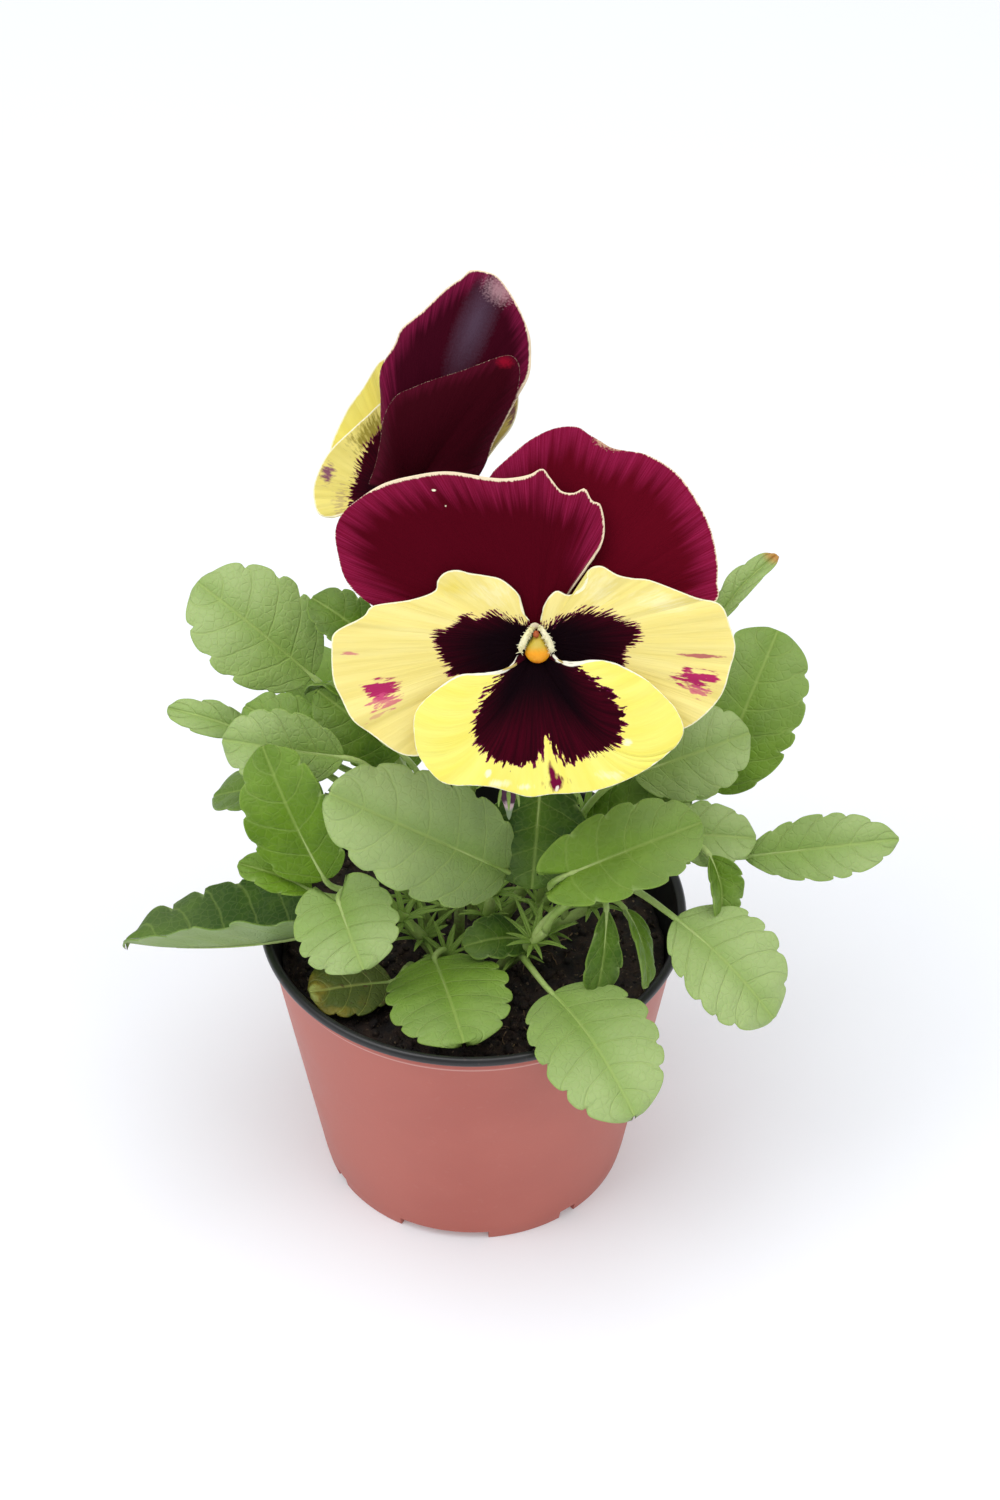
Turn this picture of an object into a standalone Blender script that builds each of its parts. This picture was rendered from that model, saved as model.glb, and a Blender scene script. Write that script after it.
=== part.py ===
"""A potted viola: a 90 mm plastic pot of peat with one large-flowered plant in it.

The plant has two open blooms, one bud and several leafy stems. Lengths in the tables and helpers
are millimetres and become metres when a mesh is made. The plant's own frame stands on the pot's
axis: X to the right, Y to the back, Z up from the surface that the pot stands on.
"""

import math
import random
from dataclasses import dataclass

import bmesh
import bpy
import numpy as np
from mathutils import Vector

MM = 0.001

# The pot's axis stands aside from the origin, so that the origin is under the plant's middle
POT_AXIS_X = -7.48
POT_AXIS_Y = -5.4

# Pot
RIM_RADIUS = 45.0
POT_HEIGHT = 68.0
LIP_HEIGHT = 2.2
LIP_WIDTH = 2.0
WALL = 1.0
WALL_TOP_RADIUS = 43.3
WALL_FOOT_RADIUS = 33.7
STEP_HEIGHT = 63.6
STEP_OUT = 0.7
FOOT_HEIGHT = 2.5
FOOT_INSET = 0.7
FOOT_WIDTH = 1.3
FOOT_RISE = 0.9
FLOOR_THICKNESS = 1.1
FLOOR_CURVE = 1.2
LIP_ROUND = 0.7
POT_SEGMENTS = 36
NOTCH_WIDE_DEG = 34.0
NOTCH_SMALL_DEG = 7.0
NOTCH_WIDE_AT_DEG = (-102.0, 78.0)
NOTCH_ASIDE_DEG = 49.0
NOTCH_REACH = 3.0
DRAIN_RADIUS = 2.6
DRAIN_RING = 21.0
DRAIN_COUNT = 6
CUT_PAST = 1.0

# Peat
SOIL_TOP = 56.8
SOIL_BUMP = 0.8
SOIL_SEGMENTS = 24
SOIL_RINGS = 4
CLEAR = 0.3
HOLE_MARGIN = 0.5
HOLE_DEPTH = 7.6
HOLE_OVER = 5.0

# Blades, stems and stalks
LEAF_THICKNESS = 0.8
PETAL_THICKNESS = 0.8
PETIOLE_RADIUS = 0.95
PETIOLE_SINK = 2.5
PETIOLE_CURVE = 0.35
PETIOLE_TAPER = 0.7
STEM_RADIUS = 1.5
STALK_RADIUS = 1.25
TOOTH_DEPTH = 0.15
TOOTH_ROUND = 0.6
TOOTHLESS_FOOT = 0.12
END_HALF_WIDTH = 0.6
CLAW_RADIUS = 1.2
STEM_SIDES = 5
STEM_POINTS = 6
STALK_POINTS = 7
BUD_STALK_POINTS = 13
SEPAL_COUNT = 5
SEPAL_LENGTH = 10.0
SEPAL_WIDTH = 4.0
SEPAL_RISE = 1.2
CALYX_RADIUS = 1.9
FRONT_CALYX_LENGTH = 4.0
REAR_CALYX_LENGTH = 4.8
BUD_CALYX_LENGTH = 1.6
REAR_SEPAL_LENGTH = 8.0
BUD_SEPAL_LENGTH = 6.0
SPUR_LENGTH = 6.0
STIPULE_COUNT = 5
STIPULE_LENGTH = 8.0
STIPULE_WIDTH = 1.5
STIPULE_ROOT = 0.4
SEED = 7

# Blooms: where the throat is, and how far the face is tipped up from facing the front
FRONT_THROAT = (12.4, -14.0, 150.2)
FRONT_TILT_DEG = 38.0
REAR_THROAT = (-12.8, 20.0, 161.0)
REAR_TILT_DEG = 41.0


@dataclass
class Leaf:
    """One blade: the ends of its midrib, its width, and the way its upper face looks."""

    foot: tuple
    tip: tuple
    width: float
    face: tuple = (0.0, -0.45, 0.9)
    at: float = 0.8
    arch: float = 2.0
    fold: float = 0.18
    teeth: int = 5
    tooth_steps: int = 2
    blunt: float = 0.55
    widest: float = 0.95
    lobe: float = 0.0


@dataclass
class LeafyStem:
    """A stem along its points, with its leaves and the places where stipules stand."""

    name: str
    route: list
    leaves: list
    stipules: tuple = ()


@dataclass
class Petal:
    """A petal fanned out from its claw to its rim; points go right, up and out of the bloom."""

    name: str
    finish: str
    claw: tuple
    rim: list
    bulge: float = 0.0
    across: int = 16
    along: int = 3
    bend: float = 0.0


LEAFY_STEMS = [
    LeafyStem("leafy_stem_left_front", [(-8, -4, 50), (-8, -4, 58), (-13, -6, 68), (-19, -9, 78)], [
        Leaf((-30, -13, 88), (-42, 0, 113), 20, face=(-0.2, -0.9, 0.3), at=1.0, tooth_steps=3, widest=0.85),
        Leaf((-33, -12, 84), (-48, -8, 88), 8, at=0.8, teeth=3),
        Leaf((-30, -12, 73), (-73, -6, 64), 32, face=(0.05, 0.4, 0.9), at=0.6, arch=-2, fold=0.6, teeth=6,
             tooth_steps=3),
        Leaf((-27, -20, 88), (-22, -32, 81), 21, face=(-0.1, -0.6, 0.8), at=0.9, lobe=0.35, fold=0.05,
             tooth_steps=3),
    ], (0.5,)),
    LeafyStem("leafy_stem_left", [(-9, 2, 50), (-9, 2, 58), (-15, 5, 76), (-21, 8, 94)], [
        Leaf((-29, 10, 100), (-47, 20, 106.5), 15, at=1.0),
        Leaf((-44, 14, 103), (-63, 20, 106), 8, at=0.6, teeth=3, fold=0.1),
        Leaf((-26, 3, 107), (-51, 9, 107), 16, face=(0.0, -0.7, 0.6), at=0.8),
    ], (0.5,)),
    LeafyStem("leafy_stem_left_rear", [(-6, 8, 50), (-6, 8, 58), (-12, 16, 80), (-18, 22, 103)], [
        Leaf((-33, 28, 107.5), (-57, 40, 123.5), 25, face=(0.1, -0.6, 0.7), at=0.8, tooth_steps=3),
        Leaf((-20, 28, 116), (-33, 35, 123), 12, at=1.0, teeth=4),
        Leaf((-26, 16, 112), (-34, 20, 110), 7, face=(0, 0.5, 0.8), at=0.6, teeth=3),
        Leaf((-14.5, 13, 99), (-31.5, 17, 113), 17, face=(0.1, -0.7, 0.6), at=0.4),
    ], (0.5,)),
    LeafyStem("leafy_stem_front", [(-3, -8, 50), (-3, -8, 58), (-5, -10, 62), (-6, -11, 65)], [
        Leaf((-8, -15, 67), (-2, -40, 68), 26, face=(0, -0.2, 1), at=1.0, teeth=6, tooth_steps=3, blunt=0.45,
             arch=1.2, fold=0.06),
    ], (0.8,)),
    LeafyStem("leafy_stem_centre", [(2, -2, 50), (2, -2, 58), (4, -4, 74), (7, -9, 86)], [
        Leaf((7, -12, 89), (-28, -21, 119), 25, face=(0.3, -0.75, 0.5), at=1.0, teeth=6, tooth_steps=3, arch=3,
             blunt=0.42),
        Leaf((14, -3, 107), (12, -12, 84), 22, face=(0.0, -0.8, 0.4), at=0.8, fold=0.1),
    ], (0.6,)),
    LeafyStem("leafy_stem_front_right", [(6, -8, 50), (6, -8, 58), (11, -13, 68), (15, -16, 76)], [
        Leaf((16, -27, 69), (32, -53, 60), 26, face=(0.1, -0.3, 0.95), at=0.4, teeth=6, tooth_steps=3,
             blunt=0.45, arch=4),
        Leaf((11, -9.5, 67), (-2, -16, 71.5), 11, face=(0.1, -0.3, 1.0), at=0.2, teeth=4),
        Leaf((27, -21, 87), (25, -28, 70), 8, face=(0.2, -0.8, 0.4), at=1.0, teeth=3, widest=1.4),
        Leaf((31, -17, 83), (35, -27, 70), 7, face=(0.7, -0.2, 0.5), at=0.8, teeth=3),
    ], (0.6,)),
    LeafyStem("leafy_stem_right_front", [(10, -3, 50), (10, -3, 58), (19, -9, 72), (30, -13, 84)], [
        Leaf((20, -22, 98), (46, -14, 104), 18, face=(0.1, -0.6, 0.7), at=0.6, tooth_steps=3, lobe=0.25),
        Leaf((35, -6, 93), (58, -6, 92), 14, face=(0, -0.5, 0.8), at=0.8),
        Leaf((41, -22, 85), (60.5, -36, 70), 23, face=(0.3, -0.5, 0.7), at=1.0, teeth=6, tooth_steps=3, arch=3),
        Leaf((48, -13, 94), (50, -21, 84), 9, face=(0.5, -0.6, 0.4), at=0.9, teeth=3, fold=0.6),
    ], (0.6,)),
    LeafyStem("leafy_stem_right", [(10, 3, 50), (10, 3, 58), (20, 2, 74), (32, 0, 84)], [
        Leaf((56, -6, 87), (88, -2, 88), 14, face=(0, -0.7, 0.7), at=1.0, teeth=6, tooth_steps=3, blunt=0.7),
        Leaf((33, 3, 102), (57, 10, 107), 19, face=(0.2, -0.7, 0.6), at=0.6),
        Leaf((24, 0, 88), (45, 4, 97), 16, face=(0.0, -0.6, 0.8), at=0.4),
    ], (0.5,)),
    LeafyStem("leafy_stem_right_rear", [(7, 8, 50), (7, 8, 58), (20, 12, 78), (35, 14, 89)], [
        Leaf((50, 10, 91), (64, 32, 116), 24, face=(-0.1, -0.7, 0.6), at=1.0, teeth=6, tooth_steps=3,
             blunt=0.45),
        Leaf((51, 34, 116), (64, 42, 128), 7, face=(-0.4, -0.3, 0.8), at=0.6, teeth=3, fold=0.35),
    ], (0.6,)),
    LeafyStem("leafy_stem_rear", [(4, 12, 50), (4, 12, 58), (7, 24, 74), (10, 36, 86)], [
        Leaf((12, 44, 92), (22, 66, 102), 20, face=(0.1, 0.0, 1.0), at=1.0),
        Leaf((-2, 40, 86), (-12, 62, 86), 19, face=(-0.1, 0.2, 1.0), at=0.8),
        Leaf((24, 36, 80), (46, 52, 80), 18, face=(0.2, 0.2, 1.0), at=0.6),
    ], (0.7,)),
    LeafyStem("leafy_stem_rear_left", [(-3, 13, 50), (-3, 13, 58), (-12, 26, 68), (-20, 34, 76)], [
        Leaf((-25, 40, 84), (-42, 56, 92), 18, face=(-0.1, 0.1, 1.0), at=1.0),
        Leaf((-32, 26, 74), (-56, 30, 72), 20, face=(-0.1, 0.1, 1.0), at=0.8, arch=3),
        Leaf((-14, 38, 72), (-20, 60, 64), 17, face=(-0.1, 0.3, 0.9), at=0.6, arch=3),
    ], (0.7,)),
]

YELLOWING_LEAF = LeafyStem("yellowing_leaf", [(-13, -9, 50), (-13, -9, 58.6), (-14, -11, 60)], [
    Leaf((-17, -15, 60.5), (-34, -20, 62.5), 17, face=(0, -0.1, 1), at=0.8, teeth=4, fold=0.05, arch=0.5),
])

FRONT_PETALS = [
    Petal("front_upper_left_petal", "burgundy", (0, 1.2, -1.7), [
        (-7, 1, -1.8), (-20, 2, -1.8), (-31, 7.5, -1.5), (-36, 12.5, -0.8), (-38, 19, 0.2), (-36.5, 25.5, 1),
        (-29, 31, 1.6), (-18, 33, 1.8), (-8, 32, 1.4), (-1, 32.3, 1.8), (1.6, 33.4, 2.2), (5, 29.4, 1.4),
        (9.5, 29.6, 1.8), (12.5, 27, 0.8), (13.2, 21, 0), (10.2, 15.2, -0.8), (6.4, 9.6, -1.4), (3.8, 5, -1.6),
    ], bulge=-0.4, across=24),
    Petal("front_upper_right_petal", "burgundy", (0.6, 1.2, -3.1), [
        (-6, 5, -3.3), (-11, 16, -3.4), (-12, 26, -3), (-8.4, 32.4, -2.4), (-2, 38.5, -1.6), (5, 41.5, -1.4),
        (12, 39.2, -1.8), (20, 36.6, -2), (26.5, 33.2, -2), (32, 26, -2.2), (35, 16, -2.8), (34.5, 8, -3.4),
        (24, 2, -3.6), (8, 0.5, -3.3),
    ], bulge=-0.5),
    Petal("front_left_petal", "pale_yellow", (-0.8, 0.4, -0.1), [
        (-1.6, 4.6, 0), (-2.8, 7, 0.1), (-3.6, 10, 0.3), (-6.4, 12.5, 0.6), (-15, 14.4, 1), (-19, 11, 0.4),
        (-31, 7.7, 0.6), (-38.2, 3, 1.2), (-38.8, -6, 0.8), (-35, -14, 0.4), (-26.5, -20.5, -0.2),
        (-20, -21, -0.4), (-10, -14, -0.3), (-3.4, -5.4, -0.1),
    ], bulge=0.2, across=20),
    Petal("front_right_petal", "pale_yellow", (0.8, 0.4, -0.1), [
        (3.2, -4.6, -0.1), (11, -13, -0.3), (21, -17.5, -0.4), (28, -16.5, -0.2), (35.5, -10, 0.4), (38, -1, 1),
        (35.2, 7.4, 1.2), (22, 12.2, 0.8), (12.5, 15, 0.9), (9.4, 11, 0.3), (6.4, 9.5, 0.4), (4, 10.2, 0.6),
        (2.2, 7.5, 0.2), (1.6, 4.4, 0),
    ], bulge=0.2, across=20),
    Petal("front_lower_petal", "bright_yellow", (0, -0.6, 1.5), [
        (-4.5, -2.2, 2.1), (-6.4, -5, 2.6), (-14.8, -5.4, 3.2), (-23, -12.5, 3.4), (-22.6, -21, 3),
        (-17, -26.4, 3), (-8.8, -27, 3.4), (-1.5, -28.9, 3.2), (6, -28.2, 3.4), (14.4, -26.9, 3),
        (22, -23, 3), (27.6, -17, 3.2), (25.2, -10.7, 3.4), (16, -3.6, 3.2), (7.2, -4, 2.6), (4.4, -1.9, 2.1),
    ], bulge=0.6, across=22, bend=0.05),
]

REAR_PETALS = [
    Petal("rear_upper_far_petal", "burgundy", (0.6, 1.2, 0.4), [
        (-3, 8, 0), (-4.5, 15, 0), (-4.3, 22, 0), (-1.5, 30, -0.5), (3.8, 36, -1), (9, 41, -1.5),
        (13.2, 44, -1.5), (19, 42.4, -2), (24, 34.5, -2.5), (25.2, 27, -2.5), (23.5, 20, -2),
        (18, 12, -1), (9, 4, 0),
    ], bulge=3.5, along=4),
    Petal("rear_upper_near_petal", "burgundy", (0.8, -0.6, 2.6), [
        (-7, 1.5, 3), (-5.5, 6, 4), (-4.4, 11, 5), (-1.4, 18.5, 6.5), (5.6, 21.4, 8), (12, 23.2, 8.5),
        (18.6, 25.8, 8), (22.4, 24, 7), (22.2, 19, 6), (18.5, 11, 4.5), (15, 3.8, 3.5), (9, -4, 3),
    ], bulge=4.0, along=4),
    Petal("rear_side_petal", "pale_yellow", (-0.8, -0.4, -2.2), [
        (-0.2, 9, -3), (-1.6, 19, -3.5), (-5.8, 19, -4), (-10, 14, -4.5), (-15, 8.8, -4.5), (-18.2, 1, -4),
        (-17, -3.6, -3.5), (-11, -3.6, -3), (-5, -4, -2.6),
    ], bulge=-1.0, across=14),
    Petal("rear_lower_petal", "bright_yellow", (0, 0.6, -4.6), [
        (-6, 2, -6), (-14.9, 8.8, -8), (-12, 16.8, -9), (-8.2, 22.2, -9.5), (-5.4, 26.7, -9.5), (-3, 28, -9.5),
        (3, 30, -9), (9, 27, -8.5), (12, 20, -8), (10, 10, -6.5), (5, 4, -5),
    ], bulge=-2.0, across=14),
    Petal("rear_far_side_petal", "pale_yellow", (1.4, 0.2, -2.4), [
        (3, 8, -3.5), (10, 18, -4.5), (18, 23, -5), (22.6, 19.4, -5), (21.6, 14, -4.5), (18.2, 8.5, -4),
        (12, 2, -3.2), (6, -2, -2.6),
    ], bulge=-1.5, across=12),
]

# Stalks: their points from the peat to the back of the bloom, and the foot of the calyx
FRONT_STALK = [(3, 4, 50), (3, 4, 58), (8, 6, 90), (12, 6, 125), (12.4, 1, 140), (12.4, -7.4, 145)]
REAR_STALK = [(0, 8, 50), (0, 8, 58), (-3, 12, 90), (-9, 13, 125), (-12.3, 13.5, 146), (-12.5, 16, 154.6)]
BUD_STALK = [(-3, 1, 50), (-3, 1, 58), (-2, 3, 86), (2, -2, 112), (5, -9, 124), (7, -14.5, 125),
             (7.2, -16.5, 120.5)]
FRONT_SEPAL_LEAN_DEG = 96.0
REAR_SEPAL_LEAN_DEG = 84.0
BUD_TIP = (7.3, -18.5, 109.3)
BUD_RADIUS = 2.1
BUD_START = 2.5
BUD_SHAPE = [(0, 0.5), (0.2, 0.85), (0.45, 0.8), (0.75, 0.45), (1, 0.2)]
BUD_SEPAL_LEAN_DEG = 24.0
BUD_SEPAL_FOOT = 0.5

# Eyes of the blooms: points in the bloom's frame, each with its radius
FRONT_CORE = [(0, 0, -3.6, 0.95), (0, -0.3, 3.7, 0.95)]
FRONT_HEAD = [(0, -1.6, 3.3, 2.1), (0, -1.6, 4.0, 2.3), (0, -1.6, 4.8, 1.2)]
FRONT_CHEEK = [(0.3, 4.4, 3.2, 0.45), (1.5, 1.3, 3.7, 0.85), (2.5, -1.7, 4.0, 0.6)]
REAR_HEAD = [(-0.9, -0.1, 0.1, 0.9), (-1.8, 1.0, 0.1, 2.0), (-2.8, 2.2, 0.1, 2.0), (-3.3, 2.8, 0.1, 1.1)]

COLOURS = {
    "terracotta": ((0.52, 0.14, 0.09), 0.45),
    "peat": ((0.022, 0.015, 0.011), 0.95),
    "leaf_green": ((0.13, 0.33, 0.05), 0.5),
    "stalk_green": ((0.22, 0.42, 0.1), 0.5),
    "olive": ((0.36, 0.4, 0.06), 0.6),
    "burgundy": ((0.16, 0.005, 0.025), 0.6),
    "pale_yellow": ((0.88, 0.78, 0.24), 0.5),
    "bright_yellow": ((0.95, 0.84, 0.1), 0.5),
    "orange": ((0.95, 0.42, 0.02), 0.5),
    "mauve": ((0.42, 0.12, 0.28), 0.6),
}


def material(name):
    """The Principled material of this name, made the first time it is asked for."""
    found = bpy.data.materials.get(name)
    if found:
        return found
    colour, roughness = COLOURS[name]
    made = bpy.data.materials.new(name)
    made.use_nodes = True
    shader = made.node_tree.nodes["Principled BSDF"]
    shader.inputs["Base Color"].default_value = (*colour, 1.0)
    shader.inputs["Roughness"].default_value = roughness
    shader.inputs["Metallic"].default_value = 0.0
    return made


def add_object(name, mesh, finish, parent, smooth_deg=50.0):
    """Link a mesh as one named piece with its finish, under the empty that places it."""
    piece = bpy.data.objects.new(name, mesh)
    bpy.context.collection.objects.link(piece)
    mesh.materials.clear()
    mesh.materials.append(material(finish))
    mesh.shade_smooth()
    mesh.set_sharp_from_angle(angle=math.radians(smooth_deg))
    piece.parent = parent
    return piece


def add_empty(name, location, parent=None, tip_deg=0.0):
    """A guide that places what hangs under it; tip_deg turns it about X."""
    guide = bpy.data.objects.new(name, None)
    bpy.context.collection.objects.link(guide)
    guide.location = Vector(location) * MM
    guide.rotation_euler = (math.radians(tip_deg), 0.0, 0.0)
    guide.parent = parent
    return guide


def mesh_of(name, points, faces):
    """A mesh from points in millimetres, with its faces turned outwards."""
    mesh = bpy.data.meshes.new(name)
    mesh.from_pydata([tuple(float(c) * MM for c in p) for p in points], [], faces)
    shape = bmesh.new()
    shape.from_mesh(mesh)
    bmesh.ops.recalc_face_normals(shape, faces=shape.faces)
    shape.to_mesh(mesh)
    shape.free()
    return mesh


def unit(vectors):
    """Vectors of length one along the last axis."""
    return vectors / np.maximum(np.linalg.norm(vectors, axis=-1, keepdims=True), 1e-9)


def smooth_path(points, count):
    """Count points evenly spread along a Catmull-Rom curve through the given ones."""
    p = np.array(points, float)
    ends = np.vstack([2 * p[0] - p[1], p, 2 * p[-1] - p[-2]])
    u = np.linspace(0, len(p) - 1 - 1e-9, 24 * len(p))
    i = u.astype(int)
    t = (u - i)[:, None]
    a, b, c, d = ends[i], ends[i + 1], ends[i + 2], ends[i + 3]
    fine = 0.5 * (2 * b + (c - a) * t + (2 * a - 5 * b + 4 * c - d) * t**2 + (3 * b - a - 3 * c + d) * t**3)
    run = np.concatenate([[0], np.cumsum(np.linalg.norm(np.diff(fine, axis=0), axis=1))])
    want = np.linspace(0, run[-1], count)
    return np.column_stack([np.interp(want, run, fine[:, k]) for k in range(p.shape[1])])


def rooted_path(route, count):
    """A smooth path whose first stretch, down in the peat, stays upright."""
    return np.vstack([np.array(route[0], float), smooth_path(route[1:], count - 1)])


def sheet_mesh(name, grid, thickness):
    """A closed blade: the grid moved half a thickness to each side along its normals.

    Each cell is cut along the same diagonal on both faces, so waved faces never cross.
    """
    rows, columns = grid.shape[:2]
    across = np.gradient(grid, axis=1)
    along = np.gradient(grid, axis=0)
    normal = unit(np.cross(across, along))
    shells = np.concatenate([grid + normal * thickness / 2, grid - normal * thickness / 2])
    points = shells.reshape(-1, 3)
    under = rows * columns
    faces = []
    for i in range(rows - 1):
        for j in range(columns - 1):
            a, b = i * columns + j, i * columns + j + 1
            c, d = a + columns, b + columns
            faces += [(a, b, d), (a, d, c)]
            faces += [(a + under, d + under, b + under), (a + under, c + under, d + under)]
    rim = list(range(columns)) + [i * columns + columns - 1 for i in range(1, rows)]
    rim += [(rows - 1) * columns + j for j in range(columns - 2, -1, -1)]
    rim += [i * columns for i in range(rows - 2, 0, -1)]
    for a, b in zip(rim, rim[1:] + rim[:1]):
        faces += [(a, a + under, b + under), (a, b + under, b)]
    return mesh_of(name, points, faces)


def tube_mesh(name, path, radii, sides):
    """A closed tube of a few flat sides along a path, with a radius at each point."""
    path = np.array(path, float)
    radii = np.broadcast_to(np.array(radii, float), (len(path),))
    heading = unit(np.gradient(path, axis=0))
    side = unit(np.cross(heading[0], (0.31, 0.95, 0.07)))
    rings = []
    for point, ahead, radius in zip(path, heading, radii):
        side = unit(side - ahead * np.dot(side, ahead))
        over = np.cross(ahead, side)
        turn = np.arange(sides) * 2 * math.pi / sides
        rings.append(point + radius * (np.outer(np.cos(turn), side) + np.outer(np.sin(turn), over)))
    points = np.concatenate(rings)
    faces = []
    for i in range(len(path) - 1):
        for j in range(sides):
            a, b = i * sides + j, i * sides + (j + 1) % sides
            faces.append((a, b, b + sides, a + sides))
    last = (len(path) - 1) * sides
    faces += [tuple(range(sides)), tuple(range(last, last + sides))]
    return mesh_of(name, points, faces)


def knob_mesh(name, points, sides):
    """A closed tube through points that each carry their own radius."""
    points = np.array(points, float)
    return tube_mesh(name, points[:, :3], points[:, 3], sides)


def spike_mesh(name, foot, tip, width):
    """A slim leaflet: a three-sided spike with its widest part a third of the way out."""
    foot, tip = np.array(foot, float), np.array(tip, float)
    ahead = unit(tip - foot)
    side = unit(np.cross(ahead, (0.2, 0.1, 1.0)))
    over = np.cross(side, ahead)
    belly = foot + (tip - foot) * 0.35
    ring = [belly + side * width / 2, belly - side * width / 2, belly + over * width / 2]
    return mesh_of(name, [foot, *ring, tip], [(0, 1, 2), (0, 2, 3), (0, 3, 1), (4, 2, 1), (4, 3, 2), (4, 1, 3)])


def fuse(name, meshes, finish, parent):
    """Join closed meshes into one solid piece with a single Boolean union on a collection."""
    piece = add_object(name, meshes[0], finish, parent)
    group = bpy.data.collections.new(name + "_repeats")
    for mesh in meshes[1:]:
        repeat = bpy.data.objects.new(mesh.name, mesh)
        repeat.parent = parent
        group.objects.link(repeat)
    bpy.context.scene.collection.children.link(group)
    union = piece.modifiers.new("union", "BOOLEAN")
    union.operation = "UNION"
    union.operand_type = "COLLECTION"
    union.collection = group
    union.solver = "MANIFOLD"
    bpy.context.view_layer.update()
    joined = bpy.data.meshes.new_from_object(piece.evaluated_get(bpy.context.evaluated_depsgraph_get()))
    piece.modifiers.clear()
    piece.data = joined
    joined.shade_smooth()
    joined.set_sharp_from_angle(angle=math.radians(50))
    for repeat in list(group.objects):
        bpy.data.objects.remove(repeat)
    bpy.data.collections.remove(group)
    return piece


def cut(piece, cutters):
    """Take the cutters out of a piece with Boolean differences; the cutters stay as guides."""
    for number, cutter in enumerate(cutters):
        cutter.hide_render = True
        cutter.display_type = "WIRE"
        step = piece.modifiers.new(f"cut_{number}", "BOOLEAN")
        step.operation = "DIFFERENCE"
        step.solver = "EXACT"
        step.object = cutter


def turned_mesh(name, profile, segments):
    """A solid of revolution about Z from (radius, height) points; radius 0 closes on the axis."""
    shape = bmesh.new()
    ring = [shape.verts.new((r * MM, 0, z * MM)) for r, z in profile]
    edges = [shape.edges.new((a, b)) for a, b in zip(ring, ring[1:])]
    turn = dict(cent=(0, 0, 0), axis=(0, 0, 1), angle=2 * math.pi, steps=segments, use_merge=True)
    bmesh.ops.spin(shape, geom=ring + edges, **turn)
    bmesh.ops.remove_doubles(shape, verts=shape.verts, dist=1e-6)
    bmesh.ops.recalc_face_normals(shape, faces=shape.faces)
    mesh = bpy.data.meshes.new(name)
    shape.to_mesh(mesh)
    shape.free()
    return mesh


def wedge_cutter(angle_deg, width_deg, parent):
    """A block that cuts one notch out of the foot ring, from under it up to the floor."""
    near, far = WALL_FOOT_RADIUS - FOOT_INSET - FOOT_WIDTH - NOTCH_REACH, WALL_FOOT_RADIUS + NOTCH_REACH
    half = math.radians(width_deg / 2)
    corners = []
    for height in (-CUT_PAST, FOOT_HEIGHT):
        for turn in (-half, 0, half):
            for radius in (near, far):
                angle = math.radians(angle_deg) + turn
                corners.append((radius * math.cos(angle), radius * math.sin(angle), height))
    sides = [(0, 1, 7, 6), (5, 4, 10, 11), (0, 6, 8, 2), (2, 8, 10, 4), (1, 3, 9, 7), (3, 5, 11, 9)]
    lids = [(0, 2, 3, 1), (2, 4, 5, 3), (6, 7, 9, 8), (8, 9, 11, 10)]
    cutter = bpy.data.objects.new("notch_cutter", mesh_of("notch_cutter", corners, sides + lids))
    bpy.context.collection.objects.link(cutter)
    cutter.parent = parent
    return cutter


def rod_cutter(x, y, low, high, radius, parent):
    """An upright rod that cuts a plain round hole."""
    rod = tube_mesh("rod_cutter", [(x, y, low), (x, y, high)], radius, 8)
    cutter = bpy.data.objects.new("rod_cutter", rod)
    bpy.context.collection.objects.link(cutter)
    cutter.parent = parent
    return cutter


def build_pot(parent):
    """The thin pot: rolled lip, step under it, tapered wall, raised floor and notched foot."""
    lip_low = POT_HEIGHT - LIP_HEIGHT
    foot = WALL_FOOT_RADIUS - FOOT_INSET
    floor = FOOT_HEIGHT + FLOOR_THICKNESS
    profile = [
        (0, FOOT_HEIGHT), (foot - FOOT_WIDTH, FOOT_HEIGHT), (foot - FOOT_WIDTH, 0), (foot, 0),
        (WALL_FOOT_RADIUS, FOOT_HEIGHT + FOOT_RISE), (WALL_TOP_RADIUS, STEP_HEIGHT),
        (WALL_TOP_RADIUS + STEP_OUT, STEP_HEIGHT + STEP_OUT), (WALL_TOP_RADIUS + STEP_OUT, lip_low),
        (RIM_RADIUS, lip_low + LIP_ROUND), (RIM_RADIUS, POT_HEIGHT - LIP_ROUND),
        (RIM_RADIUS - LIP_ROUND, POT_HEIGHT), (RIM_RADIUS - LIP_WIDTH, POT_HEIGHT - LIP_ROUND),
        (WALL_TOP_RADIUS - WALL, STEP_HEIGHT), (WALL_FOOT_RADIUS - WALL, floor + FOOT_RISE),
        (WALL_FOOT_RADIUS - WALL - FLOOR_CURVE, floor), (0, floor),
    ]
    pot = add_object("pot", turned_mesh("pot", profile, POT_SEGMENTS), "terracotta", parent, 35.0)
    cutters = []
    for middle in NOTCH_WIDE_AT_DEG:
        cutters.append(wedge_cutter(middle, NOTCH_WIDE_DEG, parent))
        for aside in (-NOTCH_ASIDE_DEG, NOTCH_ASIDE_DEG):
            cutters.append(wedge_cutter(middle + aside, NOTCH_SMALL_DEG, parent))
    for number in range(DRAIN_COUNT):
        turn = 2 * math.pi * number / DRAIN_COUNT
        x, y = DRAIN_RING * math.cos(turn), DRAIN_RING * math.sin(turn)
        cutters.append(rod_cutter(x, y, FOOT_HEIGHT - CUT_PAST, floor + CUT_PAST, DRAIN_RADIUS, parent))
    cut(pot, cutters)
    return pot


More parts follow.
